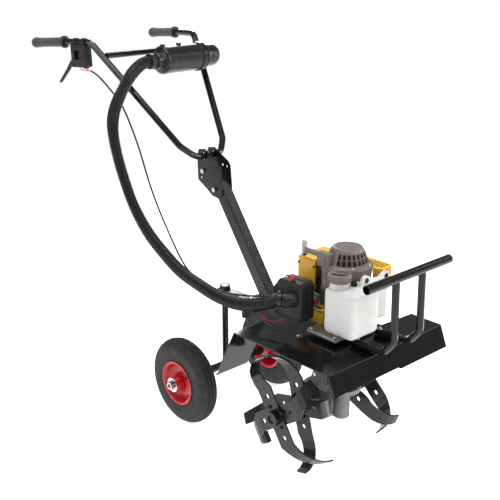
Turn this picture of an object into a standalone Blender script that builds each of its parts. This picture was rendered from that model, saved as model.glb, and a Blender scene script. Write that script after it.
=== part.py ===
"""Two-wheeled petrol tiller: rear mast with handlebar, engine over a worm gearbox, four tine sets.

Axes: +X forward, +Y the machine's left, +Z up.  Metres.  The ground is Z = 0.
"""
import math

import bmesh
import bpy
from mathutils import Matrix, Vector

# ------------------------------------------------------------------ driving dimensions (metres)
ROOT_X = 0.27225                        # puts the machine's box centre over the origin
GAP = 0.0003                            # gap between touching pieces

PLATE_TOP = 0.4185                      # guard sheet, top face
SHEET = 0.003
GUARD_HALF = 0.240
GUARD_FRONT = 0.369
GUARD_REAR = 0.006
GUARD_WING_REAR = 0.263

CRANK_X = 0.210                         # vertical crankshaft and worm
ROTOR_X, ROTOR_Z = 0.135, 0.183         # tine shaft, along Y
SHAFT_R = 0.0125
WORM_R = 0.0175
WORM_WHEEL_R = 0.0565
TINE_R = 0.190                          # radius to the tips
STRIP_W, STRIP_T = 0.066, 0.005

WHEEL_X, WHEEL_R, WHEEL_Y = -0.285, 0.140, 0.193
AXLE_R = 0.0095
POST_Y = -0.020
TUBE_R = 0.0105
BUMPER_X = 0.427
BUMPER_TOP = 0.6535

MAST_FOOT = (-0.103, 0.4355)
MAST_HEAD = (-0.312, 0.729)
MAST_D, MAST_W = 0.042, 0.036
TILT_X, TILT_Z = -0.328, 0.730          # handlebar tilt pin, along Y
PLATE_Y = MAST_W / 2 + GAP + SHEET / 2

CAN_X, CAN_Z, CAN_R = -0.558, 1.110, 0.044
HOSE_R = 0.0188
CABLE_R = 0.0028

BOX_X0, BOX_X1 = 0.072, 0.183           # intake box beside the cylinder
BOX_Y0, BOX_SPLIT, BOX_Y1 = -0.152, -0.1200, -0.0985
BOX_Z0, BOX_Z1 = 0.474, 0.588
ELBOW = (0.155, -0.161, 0.540)          # corner of the intake nozzle
NOZZLE_DIR = (-0.8, -0.6, 0.0)          # the way the nozzle's outer half points
NOZZLE_LENGTH = 0.0226

GRIP_END = (-0.972, 0.240, 1.146)
GRIP_IN = (-0.807, 0.2225, 1.1605)
ARM_TOP = (-0.700, 0.2075, 1.166)
ARM_LOW = (-0.4135, 0.0876, 0.863)
U_CORNER = (-0.380, 0.050, 0.828)
U_MID = (-0.380, 0.0, 0.828)

# ------------------------------------------------------------------ scene, collections, materials
for old in list(bpy.data.objects):
    bpy.data.objects.remove(old, do_unlink=True)

scene = bpy.context.scene
parts = bpy.data.collections.new("tiller")
cutters = bpy.data.collections.new("cutters")
scene.collection.children.link(parts)
scene.collection.children.link(cutters)


def material(name, colour, roughness, metallic=0.0):
    mat = bpy.data.materials.new(name)
    mat.use_nodes = True
    shader = mat.node_tree.nodes["Principled BSDF"]
    shader.inputs["Base Color"].default_value = (*colour, 1.0)
    shader.inputs["Roughness"].default_value = roughness
    shader.inputs["Metallic"].default_value = metallic
    return mat


MATS = {
    "black_paint": material("black_paint", (0.012, 0.012, 0.013), 0.28),
    "black_plastic": material("black_plastic", (0.016, 0.016, 0.017), 0.45),
    "foam": material("foam", (0.02, 0.02, 0.021), 0.9),
    "rubber": material("rubber", (0.02, 0.02, 0.021), 0.75),
    "yellow": material("yellow", (0.86, 0.47, 0.02), 0.35),
    "grey_plastic": material("grey_plastic", (0.13, 0.105, 0.10), 0.5),
    "light_grey": material("light_grey", (0.45, 0.42, 0.42), 0.5),
    "tank_white": material("tank_white", (0.80, 0.79, 0.76), 0.35),
    "red_paint": material("red_paint", (0.50, 0.006, 0.010), 0.35),
    "zinc": material("zinc", (0.62, 0.62, 0.60), 0.3, 1.0),
    "aluminium": material("aluminium", (0.40, 0.38, 0.37), 0.45, 0.9),
    "dark_steel": material("dark_steel", (0.05, 0.048, 0.047), 0.4, 0.6),
    "filter": material("filter", (0.55, 0.45, 0.25), 0.9),
}


def world_of(ob):
    """Machine-frame position of an empty (none of them is turned)."""
    spot = Vector(ob.location)
    while ob.parent is not None:
        ob = ob.parent
        spot += Vector(ob.location)
    return spot - Vector((ROOT_X, 0.0, 0.0))


ROOT = bpy.data.objects.new("tiller_root", None)
parts.objects.link(ROOT)
ROOT.location = (ROOT_X, 0.0, 0.0)


def pivot(name, location, parent=ROOT):
    """Empty on a joint axis, at a machine-frame point."""
    ob = bpy.data.objects.new(name, None)
    parts.objects.link(ob)
    ob.parent = parent
    ob.location = Vector(location) - world_of(parent)
    return ob


def add(name, mesh, mat, at=(0, 0, 0), parent=ROOT, rot=None, smooth=35.0):
    """Named sub-part at a machine-frame point; rot is a 3 x 3 or Euler triple."""
    ob = bpy.data.objects.new(name, mesh)
    parts.objects.link(ob)
    ob.parent = parent
    ob.location = Vector(at) - world_of(parent)
    if rot is not None:
        ob.rotation_euler = rot if len(rot) == 3 and not hasattr(rot, "to_euler") else rot.to_euler()
    mesh.materials.clear()
    mesh.materials.append(MATS[mat])
    if smooth:
        mesh.shade_smooth()
        mesh.set_sharp_from_angle(angle=math.radians(smooth))
    return ob


def bevel(ob, width, segments=2, angle=35.0):
    mod = ob.modifiers.new("bevel", "BEVEL")
    mod.width = width
    mod.segments = segments
    mod.limit_method = "ANGLE"
    mod.angle_limit = math.radians(angle)
    return mod


def mesh_of(bm, name):
    bmesh.ops.recalc_face_normals(bm, faces=bm.faces)
    mesh = bpy.data.meshes.new(name)
    bm.to_mesh(mesh)
    bm.free()
    return mesh


def box_mesh(x0, x1, y0, y1, z0, z1, name="box"):
    bm = bmesh.new()
    centre = Matrix.Translation(((x0 + x1) / 2, (y0 + y1) / 2, (z0 + z1) / 2))
    size = Matrix.Diagonal((x1 - x0, y1 - y0, z1 - z0, 1.0))
    bmesh.ops.create_cube(bm, size=1.0, matrix=centre @ size)
    return mesh_of(bm, name)


def box(name, mat, x0, x1, y0, y1, z0, z1, parent=ROOT, edge=0.0015, segments=2):
    """Box in machine coordinates whose origin is its centre."""
    centre = Vector(((x0 + x1) / 2, (y0 + y1) / 2, (z0 + z1) / 2))
    mesh = box_mesh(x0 - centre.x, x1 - centre.x, y0 - centre.y, y1 - centre.y, z0 - centre.z, z1 - centre.z)
    ob = add(name, mesh, mat, centre, parent)
    if edge:
        bevel(ob, edge, segments)
    return ob


AXIS_ROT = {
    "z": (0.0, 0.0, 0.0),
    "-z": (math.pi, 0.0, 0.0),
    "x": (0.0, math.pi / 2, 0.0),
    "-x": (0.0, -math.pi / 2, 0.0),
    "y": (-math.pi / 2, 0.0, 0.0),
    "-y": (math.pi / 2, 0.0, 0.0),
}


def turned(name, mat, profile, at, axis="z", steps=32, parent=ROOT, rot=None, smooth=35.0):
    """Turned shape: profile (radius, height) runs down the outer side from top to bottom."""
    mesh = bpy.data.meshes.new(name)
    points = [(r, 0.0, h) for r, h in profile]
    closed = profile[0][0] > 1e-6 and profile[-1][0] > 1e-6
    edges = [(i, i + 1) for i in range(len(points) - 1)]
    if closed:
        edges.append((len(points) - 1, 0))
    mesh.from_pydata(points, edges, [])
    ob = bpy.data.objects.new(name, mesh)
    parts.objects.link(ob)
    ob.parent = parent
    ob.location = Vector(at) - world_of(parent)
    ob.rotation_euler = rot if rot is not None else AXIS_ROT[axis]
    mesh.materials.append(MATS[mat])
    screw = ob.modifiers.new("screw", "SCREW")
    screw.axis = "Z"
    screw.steps = steps
    screw.render_steps = steps
    screw.use_merge_vertices = True
    screw.merge_threshold = 0.00001
    screw.use_smooth_shade = True
    if smooth:
        mesh.shade_smooth()
    return ob


def rod(name, mat, radius, length, at, axis="z", steps=24, parent=ROOT, edge=0.0006, rot=None):
    """Round bar centred on a point."""
    h = length / 2
    profile = [(0.0, h), (radius - edge, h), (radius, h - edge), (radius, edge - h), (radius - edge, -h), (0.0, -h)]
    return turned(name, mat, profile, at, axis, steps, parent, rot)


def ring(name, mat, r_in, r_out, length, at, axis="z", steps=32, parent=ROOT, edge=0.0006, rot=None):
    h = length / 2
    profile = [
        (r_in, h), (r_out - edge, h), (r_out, h - edge),
        (r_out, edge - h), (r_out - edge, -h), (r_in, -h),
    ]
    return turned(name, mat, profile, at, axis, steps, parent, rot)


def fillet_path(points, radius, steps=6):
    """Polyline with rounded corners, as Vectors."""
    pts = [Vector(p) for p in points]
    out = [pts[0]]
    for before, corner, after in zip(pts, pts[1:], pts[2:]):
        u = (before - corner).normalized()
        v = (after - corner).normalized()
        angle = u.angle(v)
        reach = min(radius / math.tan(angle / 2), 0.48 * (before - corner).length, 0.48 * (after - corner).length)
        r = reach * math.tan(angle / 2)
        bisector = (u + v).normalized()
        centre = corner + bisector * (r / math.sin(angle / 2))
        a = corner + u * reach - centre
        b = corner + v * reach - centre
        turn = a.angle(b)
        for i in range(steps + 1):
            t = i / steps
            if turn < 0.02:
                out.append(corner + u * reach * (1 - t) + v * reach * t)
            else:
                out.append(centre + (a * math.sin((1 - t) * turn) + b * math.sin(t * turn)) / math.sin(turn))
    out.append(pts[-1])
    return out


def smooth_path(points, spacing):
    """Evenly spaced points on a Catmull-Rom curve through the given points."""
    pts = [Vector(p) for p in points]
    pts = [2 * pts[0] - pts[1]] + pts + [2 * pts[-1] - pts[-2]]
    dense = []
    for a, b, c, d in zip(pts, pts[1:], pts[2:], pts[3:]):
        for i in range(24):
            t = i / 24
            dense.append(0.5 * ((2 * b) + (c - a) * t + (2 * a - 5 * b + 4 * c - d) * t * t
                                + (3 * b - a - 3 * c + d) * t * t * t))
    dense.append(pts[-2])
    lengths = [0.0]
    for a, b in zip(dense, dense[1:]):
        lengths.append(lengths[-1] + (b - a).length)
    count = max(2, round(lengths[-1] / spacing))
    out = []
    j = 0
    for i in range(count + 1):
        want = lengths[-1] * i / count
        while j < len(lengths) - 2 and lengths[j + 1] < want:
            j += 1
        span = lengths[j + 1] - lengths[j]
        t = 0.0 if span < 1e-9 else (want - lengths[j]) / span
        out.append(dense[j].lerp(dense[j + 1], min(max(t, 0.0), 1.0)))
    return out


def curve_tube(name, mat, points, radius, at=(0, 0, 0), parent=ROOT, resolution=3):
    """Round tube or rod along points given in machine coordinates; its origin is at the point 'at'."""
    data = bpy.data.curves.new(name, "CURVE")
    data.dimensions = "3D"
    data.bevel_depth = radius
    data.bevel_resolution = resolution
    data.use_fill_caps = True
    spline = data.splines.new("POLY")
    spline.points.add(len(points) - 1)
    for item, point in zip(spline.points, points):
        item.co = (*(Vector(point) - Vector(at)), 1.0)
    ob = bpy.data.objects.new(name, data)
    parts.objects.link(ob)
    ob.parent = parent
    ob.location = Vector(at) - world_of(parent)
    data.materials.append(MATS[mat])
    return ob


def outline(name, mat, shape, holes, thickness, at, rot, parent=ROOT, edge=0.0, target=None):
    """Flat plate from a 2-D outline with round or polygon holes, centred on its thickness."""
    data = bpy.data.curves.new(name, "CURVE")
    data.dimensions = "2D"
    data.fill_mode = "BOTH"
    data.extrude = thickness / 2
    loops = [shape]
    for hole in holes:
        if len(hole) == 3:
            cx, cy, r = hole
            loops.append([(cx + r * math.cos(a * math.pi / 8), cy + r * math.sin(a * math.pi / 8)) for a in range(16)])
        else:
            loops.append(hole)
    for loop in loops:
        spline = data.splines.new("POLY")
        spline.points.add(len(loop) - 1)
        spline.use_cyclic_u = True
        for item, (x, y) in zip(spline.points, loop):
            item.co = (x, y, 0.0, 1.0)
    temp = bpy.data.objects.new(name + "_outline", data)
    parts.objects.link(temp)
    bpy.context.view_layer.update()
    evaluated = temp.evaluated_get(bpy.context.evaluated_depsgraph_get())
    mesh = bpy.data.meshes.new_from_object(evaluated)
    bm = bmesh.new()
    bm.from_mesh(mesh)
    bmesh.ops.remove_doubles(bm, verts=bm.verts, dist=1e-6)
    bmesh.ops.dissolve_limit(bm, angle_limit=0.01, verts=bm.verts, edges=bm.edges)
    bmesh.ops.triangulate(bm, faces=[f for f in bm.faces if len(f.verts) > 4])
    bmesh.ops.recalc_face_normals(bm, faces=bm.faces)
    bm.to_mesh(mesh)
    bm.free()
    bpy.data.objects.remove(temp, do_unlink=True)
    ob = add(name, mesh, mat, at, parent, rot, smooth=30.0)
    if edge:
        bevel(ob, edge, 1)
    return ob


def boolean(ob, other, operation="DIFFERENCE"):
    """Apply another object to this one; the other lives in the cutter collection."""
    for coll in list(other.users_collection):
        coll.objects.unlink(other)
    cutters.objects.link(other)
    other.hide_render = True
    other.display_type = "WIRE"
    mod = ob.modifiers.new(operation.lower(), "BOOLEAN")
    mod.operation = operation
    mod.object = other
    mod.solver = "EXACT"
    return mod


def solid(curve_ob):
    """Mesh object in place of a curve object."""
    bpy.context.view_layer.update()
    evaluated = curve_ob.evaluated_get(bpy.context.evaluated_depsgraph_get())
    mesh = bpy.data.meshes.new_from_object(evaluated)
    bm = bmesh.new()
    bm.from_mesh(mesh)
    bmesh.ops.remove_doubles(bm, verts=bm.verts, dist=1e-6)
    bmesh.ops.recalc_face_normals(bm, faces=bm.faces)
    bm.to_mesh(mesh)
    bm.free()
    name = curve_ob.name
    place = curve_ob.matrix_world.copy()
    bpy.data.objects.remove(curve_ob, do_unlink=True)
    ob = bpy.data.objects.new(name, mesh)
    parts.objects.link(ob)
    ob.matrix_world = place
    return ob


def cut_rod(ob, radius, length, at, axis, steps=24, parent=ROOT, rot=None):
    boolean(ob, rod(ob.name + "_cut_%d" % len(cutters.objects), "zinc", radius, length, at, axis, steps, parent, 0.00001, rot))


def cut_box(ob, x0, x1, y0, y1, z0, z1, parent=ROOT, edge=0.0):
    name = ob.name + "_cut_%d" % len(cutters.objects)
    boolean(ob, box(name, "zinc", x0, x1, y0, y1, z0, z1, parent, edge))


def loft(name, mat, sections, at, parent=ROOT, rot=None, smooth=40.0):
    """Closed body through equal rings of points, capped at both ends."""
    bm = bmesh.new()
    rings = [[bm.verts.new(p) for p in section] for section in sections]
    n = len(rings[0])
    for a, b in zip(rings, rings[1:]):
        for i in range(n):
            j = (i + 1) % n
            bm.faces.new((a[i], a[j], b[j], b[i]))
    bm.faces.new(list(reversed(rings[0])))
    bm.faces.new(rings[-1])
    return add(name, mesh_of(bm, name), mat, at, parent, rot, smooth)


# ------------------------------------------------------------------ joint axes
HANDLE = pivot("handlebar_tilt_axis", (TILT_X, 0.0, TILT_Z))
THROTTLE = pivot("throttle_lever_axis", (-0.772, -0.222, 1.113), HANDLE)
WHEELS = pivot("wheel_frame_slide_axis", (WHEEL_X, POST_Y, WHEEL_R))
WHEEL_R_AXIS = pivot("right_wheel_axis", (WHEEL_X, -WHEEL_Y, WHEEL_R), WHEELS)
WHEEL_L_AXIS = pivot("left_wheel_axis", (WHEEL_X, WHEEL_Y, WHEEL_R), WHEELS)
ROTOR = pivot("tine_rotor_axis", (ROTOR_X, 0.0, ROTOR_Z))
WORM = pivot("worm_axis", (CRANK_X, 0.0, 0.30))
CRANK = pivot("crankshaft_axis", (CRANK_X, 0.0, 0.50))
REEL = pivot("starter_reel_axis", (CRANK_X, 0.0, 0.640))

# ------------------------------------------------------------------ guard sheet
MID = PLATE_TOP - SHEET / 2
deck = [
    (GUARD_REAR, -GUARD_HALF), (GUARD_FRONT, -GUARD_HALF), (GUARD_FRONT, GUARD_HALF),
    (GUARD_WING_REAR, GUARD_HALF), (GUARD_WING_REAR - 0.008, 0.110), (GUARD_REAR, 0.110),
]
guard = outline("guard_sheet", "black_paint", deck, [(CRANK_X, 0.0, 0.030)], SHEET, (0, 0, MID), (0, 0, 0))


def panel(name, mat, shape, holes, thickness, origin, u, v, parent=ROOT, edge=0.0):
    """Flat sheet whose outline is given along the directions u and v from a point on its mid-plane."""
    a = Vector(u).normalized()
    b = Vector(v).normalized()
    n = a.cross(b)
    rot = Matrix((a, b, n)).transposed()
    return outline(name, mat, shape, holes, thickness, origin, rot, parent, edge)


LIP = 0.0665
FRONT_DOWN = (0.394, 0.0, -0.919)
front_shape = [
    (-GUARD_HALF, 0.0), (GUARD_HALF, 0.0), (GUARD_HALF - 0.002, LIP), (0.030, LIP),
    (0.022, LIP - 0.006), (-GUARD_HALF + 0.012, LIP - 0.006), (-GUARD_HALF + 0.002, LIP),
]
welded = [panel("guard_front", "black_paint", front_shape, [], SHEET, (0.3685, 0.0, 0.4178), (0, 1, 0), FRONT_DOWN)]
REAR_DOWN = (-0.445, 0.0, -0.8955)
rear_shape = [(-0.240, 0.0), (-0.115, 0.0), (-0.115, 0.184), (-0.240, 0.184), (-0.232, 0.172), (-0.240, 0.160)]
welded.append(panel("guard_rear_flap", "black_paint", rear_shape, [], SHEET, (0.0066, 0.0, 0.4176), (0, 1, 0),
                    REAR_DOWN))
slot = [(0.332 + 0.0032 * math.cos(a * math.pi / 6), 0.386 + 0.0080 * math.sin(a * math.pi / 6)) for a in range(12)]
side_shape = [(0.316, 0.4170), (0.365, 0.4170), (0.369, 0.392), (0.360, 0.370), (0.337, 0.370), (0.307, 0.387)]
welded.append(panel("guard_side_tab", "black_paint", side_shape, [slot], SHEET, (0.0, -0.2380, 0.0), (1, 0, 0),
                    (0, 0, 1)))
for sheet in welded:
    boolean(guard, sheet, "UNION")

# ------------------------------------------------------------------ chassis beam, mast, brackets
BEAM_Z0, BEAM_Z1 = 0.371, PLATE_TOP - SHEET - GAP
beam = box("chassis_beam", "black_paint", -0.160, 0.1665, -0.021, 0.021, BEAM_Z0, BEAM_Z1, edge=0.0)
foot = box("mast_foot_plate", "black_paint", -0.158, -0.034, -0.045, 0.045, BEAM_Z1 + GAP, BEAM_Z1 + 0.0055, edge=0.001)

lean = Vector((MAST_HEAD[0] - MAST_FOOT[0], 0.0, MAST_HEAD[1] - MAST_FOOT[1]))
mast_length = lean.length
lean.normalize()
mast_rot = Matrix((Vector((0, 1, 0)).cross(lean), Vector((0, 1, 0)), lean)).transposed()
mast_low = -0.060
mast_high = mast_length + 0.024
h = (mast_high - mast_low) / 2
mast = add("mast_tube", box_mesh(-MAST_D / 2, MAST_D / 2, -MAST_W / 2, MAST_W / 2, -h, h), "black_paint",
           Vector((MAST_FOOT[0], 0, MAST_FOOT[1])) + lean * (mast_low + h), ROOT, mast_rot)
cut_box(mast, -0.3, 0.2, -0.1, 0.1, 0.2, BEAM_Z1 + 0.0055 + GAP)
bevel(mast, 0.003, 2)
cut_rod(mast, 0.0043, 0.06, (TILT_X, 0, TILT_Z), "y", 16)

boolean(beam, box("hitch_plate", "black_paint", -0.172, -0.1580, -0.050, 0.050, 0.352, 0.412, edge=0.0), "UNION")
boolean(beam, box("wheel_arm", "black_paint", -0.302, -0.1650, POST_Y - 0.017, POST_Y + 0.017, 0.376, 0.410, edge=0.0),
        "UNION")
cut_rod(beam, 0.0108, 0.2, (WHEEL_X, POST_Y, 0.39), "z", 18)
bevel(beam, 0.002, 1)

# ------------------------------------------------------------------ handlebar (tilts on the mast head)
plate_shape = [
    (-0.412, 0.830), (-0.402, 0.848), (-0.376, 0.852), (-0.342, 0.834), (-0.310, 0.818), (-0.300, 0.806),
    (-0.294, 0.750), (-0.292, 0.716), (-0.312, 0.704), (-0.340, 0.707), (-0.366, 0.724), (-0.409, 0.748),
]
plate_holes = [
    (U_MID[0], U_MID[2], TUBE_R + 0.0006), (-0.382, 0.780, 0.0043), (TILT_X, TILT_Z, 0.0043),
    (-0.393, 0.757, 0.0038), (-0.335, 0.802, 0.0045), (-0.315, 0.800, 0.0038),
]
for side, name in ((-1, "right_bracket_plate"), (1, "left_bracket_plate")):
    shape = [(x - TILT_X, z - TILT_Z) for x, z in plate_shape]
    holes = [(x - TILT_X, z - TILT_Z, r) for x, z, r in plate_holes]
    panel(name, "black_paint", shape, holes, SHEET, (TILT_X, side * PLATE_Y, TILT_Z), (1, 0, 0), (0, 0, 1), HANDLE)

WASHER = PLATE_Y + SHEET / 2 + GAP
for tag, x, z, metal in (("tilt_bolt", TILT_X, TILT_Z, "zinc"), ("lock_bolt", -0.382, 0.780, "dark_steel")):
    profile = [
        (0.0, 0.007), (0.0070, 0.007), (0.0078, 0.0062), (0.0078, 0.0), (0.0040, 0.0), (0.0040, -2 * WASHER),
        (0.0078, -2 * WASHER), (0.0078, -2 * WASHER - 0.0065), (0.0045, -2 * WASHER - 0.0070),
        (0.0040, -2 * WASHER - 0.0110), (0.0, -2 * WASHER - 0.0110),
    ]
    turned("handlebar_" + tag, metal, profile, (x, -WASHER, z), "-y", 14, HANDLE, smooth=None)


def mirrored(point):
    return (point[0], -point[1], point[2])


right = [mirrored(p) for p in (GRIP_END, GRIP_IN, ARM_TOP, ARM_LOW, U_CORNER)]
left = [GRIP_END, GRIP_IN, ARM_TOP, ARM_LOW, U_CORNER]
bar_points = fillet_path(right + list(reversed(left)), 0.045, 4)
trimmed = [p for i, p in enumerate(bar_points) if i == 0 or (p - bar_points[i - 1]).length > 0.004]
curve_tube("handlebar_tube", "black_paint", trimmed, TUBE_R, (TILT_X, 0, TILT_Z), HANDLE, 3)


def arm_y(x):
    """Half distance between the two arms at a given X."""
    t = (x - ARM_TOP[0]) / (ARM_LOW[0] - ARM_TOP[0])
    return ARM_TOP[1] + t * (ARM_LOW[1] - ARM_TOP[1])


def arm_z(x):
    t = (x - ARM_TOP[0]) / (ARM_LOW[0] - ARM_TOP[0])
    return ARM_TOP[2] + t * (ARM_LOW[2] - ARM_TOP[2])


CROSS_X = -0.662
cross_z = arm_z(CROSS_X)
cross_half = arm_y(CROSS_X) - TUBE_R / math.cos(math.radians(22)) - 0.0030
rod("handlebar_cross_tube", "black_paint", 0.0095, 2 * cross_half, (CROSS_X, 0, cross_z), "y", 18, HANDLE)

grip_dir = Vector(GRIP_IN) - Vector(GRIP_END)
grip_length = grip_dir.length
grip_dir.normalize()
for side, name in ((-1, "right_grip"), (1, "left_grip")):
    along = Vector((grip_dir.x, side * grip_dir.y, grip_dir.z))
    start = Vector((GRIP_END[0], side * GRIP_END[1], GRIP_END[2]))
    length = grip_length - 0.016
    profile = [
        (TUBE_R + GAP, length), (0.0195, length), (0.0195, length - 0.006), (0.0150, length - 0.010),
        (0.0148, 0.030), (0.0160, 0.012), (0.0172, -0.002), (0.0160, -0.010), (0.0100, -0.0125), (0.0, -0.0130),
        (0.0, -GAP), (TUBE_R + GAP, -GAP),
    ]
    spin_up = along.to_track_quat("Z", "Y").to_matrix()
    turned(name, "foam", profile, start, parent=HANDLE, rot=spin_up.to_euler(), steps=22)

# throttle housing clamped round the bar, ahead of the right grip
bar_dir = Vector(ARM_TOP) - Vector(GRIP_IN)
bar_dir.normalize()
right_dir = Vector((bar_dir.x, -bar_dir.y, bar_dir.z))
house_c = Vector(mirrored(GRIP_IN)) + right_dir * 0.058
house_rot = right_dir.to_track_quat("X", "Z").to_matrix()
house_frame = Matrix.Translation(house_c) @ house_rot.to_4x4()


def in_house(x, y, z):
    return house_frame @ Vector((x, y, z))


house = add("throttle_housing", box_mesh(-0.034, 0.034, -0.0165, 0.0165, -0.078, 0.015), "black_plastic",
            house_c, HANDLE, house_rot)
boolean(house, rod("throttle_housing_bore", "zinc", TUBE_R + GAP, 0.09, house_c, "x", 20, HANDLE, 0.00001,
                   rot=right_dir.to_track_quat("Z", "Y").to_euler()))
slot_cut = add("throttle_housing_window", box_mesh(-0.015, 0.014, -0.05, -0.004, -0.050, -0.022), "zinc",
               house_c, HANDLE, house_rot)
boolean(house, slot_cut)
lever_cut = add("throttle_housing_lever_slot", box_mesh(-0.05, -0.018, -0.0042, 0.0042, -0.068, -0.030), "zinc",
                house_c, HANDLE, house_rot)
boolean(house, lever_cut)
bevel(house, 0.003, 1)
boolean(house, add("throttle_housing_switch_well", box_mesh(-0.0095, 0.0095, -0.0065, 0.0065, -0.1000, -0.0690), "zinc",
                   in_house(0.018, 0.0, 0.0), HANDLE, house_rot))

lever_pin = in_house(-0.028, 0.0, -0.045)
THROTTLE.location = lever_pin - world_of(HANDLE)
lever_outline = [(-0.004, 0.004), (0.003, 0.005), (0.005, -0.002), (-0.012, -0.020), (-0.040, -0.048), (-0.078, -0.082),
                 (-0.088, -0.088), (-0.090, -0.083), (-0.050, -0.044), (-0.022, -0.012)]
panel("throttle_lever", "black_plastic", lever_outline, [], 0.0066, lever_pin,
      right_dir, house_rot @ Vector((0, 0, 1)), THROTTLE)
STOP = pivot("stop_switch_axis", in_house(0.018, 0.0, -0.0785), HANDLE)
add("stop_switch", box_mesh(-0.008, 0.008, -0.005, 0.005, -0.0045, 0.0050), "red_paint", in_house(0.018, 0.0, -0.078), STOP,
    house_rot)

# ------------------------------------------------------------------ air pre-filter canister and its hose
CAN_Y0, CAN_Y1 = -0.048, 0.120
can = turned("canister_body", "black_plastic", [
    (0.0260, CAN_Y1), (CAN_R - 0.002, CAN_Y1), (CAN_R, CAN_Y1 - 0.002), (CAN_R, CAN_Y0 + 0.006), (0.038, CAN_Y0),
    (0.0270, CAN_Y0 - 0.002), (0.0270, CAN_Y0 - 0.020), (0.0200, CAN_Y0 - 0.020), (0.0200, CAN_Y0 + 0.003),
    (CAN_R - 0.003, CAN_Y0 + 0.008), (CAN_R - 0.003, CAN_Y1 - 0.004), (0.0260, CAN_Y1 - 0.004),
], (CAN_X, 0, CAN_Z), "y", 26, HANDLE)
turned("canister_cap", "black_plastic", [
    (0.0, 0.0660), (0.0220, 0.0640), (0.0310, 0.0560), (0.0345, 0.0440), (0.0350, 0.0020), (0.0440, 0.0020),
    (0.0440, 0.0), (0.0320, 0.0), (0.0320, 0.0430), (0.0280, 0.0530), (0.0200, 0.0610), (0.0, 0.0630),
], (CAN_X, CAN_Y1 + GAP, CAN_Z), "y", 26, HANDLE)
ring("canister_filter", "filter", 0.016, 0.034, 0.115, (CAN_X, 0.040, CAN_Z), "y", 22, HANDLE)
clamp = ring("canister_clamp", "black_paint", CAN_R + GAP, CAN_R + 0.0030, 0.016, (CAN_X, 0.108, CAN_Z), "y", 26, HANDLE)
ear = box("canister_clamp_ear", "black_paint", -0.678, CAN_X - CAN_R + 0.004, 0.102, 0.114, CAN_Z + 0.002,
          CAN_Z + 0.012, HANDLE, 0.0)
boolean(clamp, ear, "UNION")
cut_rod(clamp, CAN_R + GAP, 0.05, (CAN_X, 0.108, CAN_Z), "y", 26, HANDLE)
cut_rod(clamp, 0.0099, 0.06, (CROSS_X, 0.108, cross_z), "y", 18, HANDLE)

nozzle_end = Vector(ELBOW) + Vector(NOZZLE_DIR) * NOZZLE_LENGTH
HOSE_POINTS = [
    (CAN_X, CAN_Y0 - 0.034, CAN_Z), (-0.556, -0.104, 1.109), (-0.546, -0.135, 1.102), (-0.529, -0.180, 1.080),
    (-0.530, -0.214, 1.036), (-0.553, -0.230, 0.975), (-0.567, -0.230, 0.917), (-0.560, -0.225, 0.843),
    (-0.534, -0.220, 0.762), (-0.493, -0.215, 0.678), (-0.428, -0.210, 0.604), (-0.346, -0.205, 0.548),
    (-0.274, -0.202, 0.513), (-0.190, -0.201, 0.495), (-0.110, -0.202, 0.485), (-0.022, -0.204, 0.489),
    (0.050, -0.203, 0.507), (0.094, -0.195, 0.5235), nozzle_end + Vector(NOZZLE_DIR) * 0.018,
]
hose_path = smooth_path(HOSE_POINTS, 0.026)
hose_path.insert(0, Vector((CAN_X, CAN_Y0 - 0.0203, CAN_Z)))
hose_path.append(nozzle_end + Vector(NOZZLE_DIR) * GAP)
curve_tube("intake_hose", "rubber", hose_path, HOSE_R, hose_path[0], ROOT, 2)

# ------------------------------------------------------------------ intake box beside the cylinder


def box_outline(inset):
    """Side view of the box with its sloping top corner, as (x, z) points."""
    x0, x1 = BOX_X0 + inset, BOX_X1 - inset
    z0, z1 = BOX_Z0 + inset, BOX_Z1 - inset
    soft = 0.008 - inset * 0.6
    return [(x0 + soft, z0), (x1 - soft, z0), (x1, z0 + soft), (x1, z1 - soft), (x1 - soft, z1),
            (x0 + 0.026 - inset * 0.5, z1), (x0, z1 - 0.034 + inset * 0.5), (x0, z0 + soft)]


def box_slab(name, mat, inset, y0, y1, edge=0.0):
    return panel(name, mat, box_outline(inset), [], y1 - y0, (0.0, (y0 + y1) / 2, 0.0), (1, 0, 0), (0, 0, 1), ROOT, edge)


base = box_slab("intake_box_base", "black_plastic", 0.0, BOX_SPLIT + GAP, BOX_Y1, 0.002)
boolean(base, box_slab("intake_box_base_hollow", "zinc", 0.0045, -0.20, BOX_Y1 - 0.004))
cut_rod(base, 0.0105, 0.05, (0.149, BOX_Y1, 0.520), "y", 16)
cover = box_slab("intake_box_cover", "black_plastic", 0.0, BOX_Y0, BOX_SPLIT, 0.0035)


def nozzle_tube(name, radius, over):
    """Bent round stub through the front wall of the cover."""
    line = [(ELBOW[0], BOX_Y0 + 0.014, ELBOW[2]), ELBOW, nozzle_end + Vector(NOZZLE_DIR) * over]
    return solid(curve_tube(name, "black_plastic", fillet_path(line, 0.0215, 4), radius))


boolean(cover, nozzle_tube("intake_nozzle", 0.0205, 0.0), "UNION")
boolean(cover, box_slab("intake_box_cover_hollow", "zinc", 0.0062, BOX_Y0 + 0.0042, -0.05))
boolean(cover, nozzle_tube("intake_nozzle_bore", 0.0150, 0.004))
box_slab("intake_filter", "filter", 0.0060, BOX_SPLIT + 0.0006, -0.1040)
CHOKE_AT = (0.136, -0.137, BOX_Z1)
CHOKE = pivot("choke_knob_axis", CHOKE_AT)
turned("choke_knob", "red_paint", [(0.0, 0.013), (0.0062, 0.013), (0.0075, 0.0115), (0.0075, 0.004), (0.0045, 0.003),
                                   (0.0045, GAP), (0.0, GAP)], CHOKE_AT, "z", 14, CHOKE)

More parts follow.
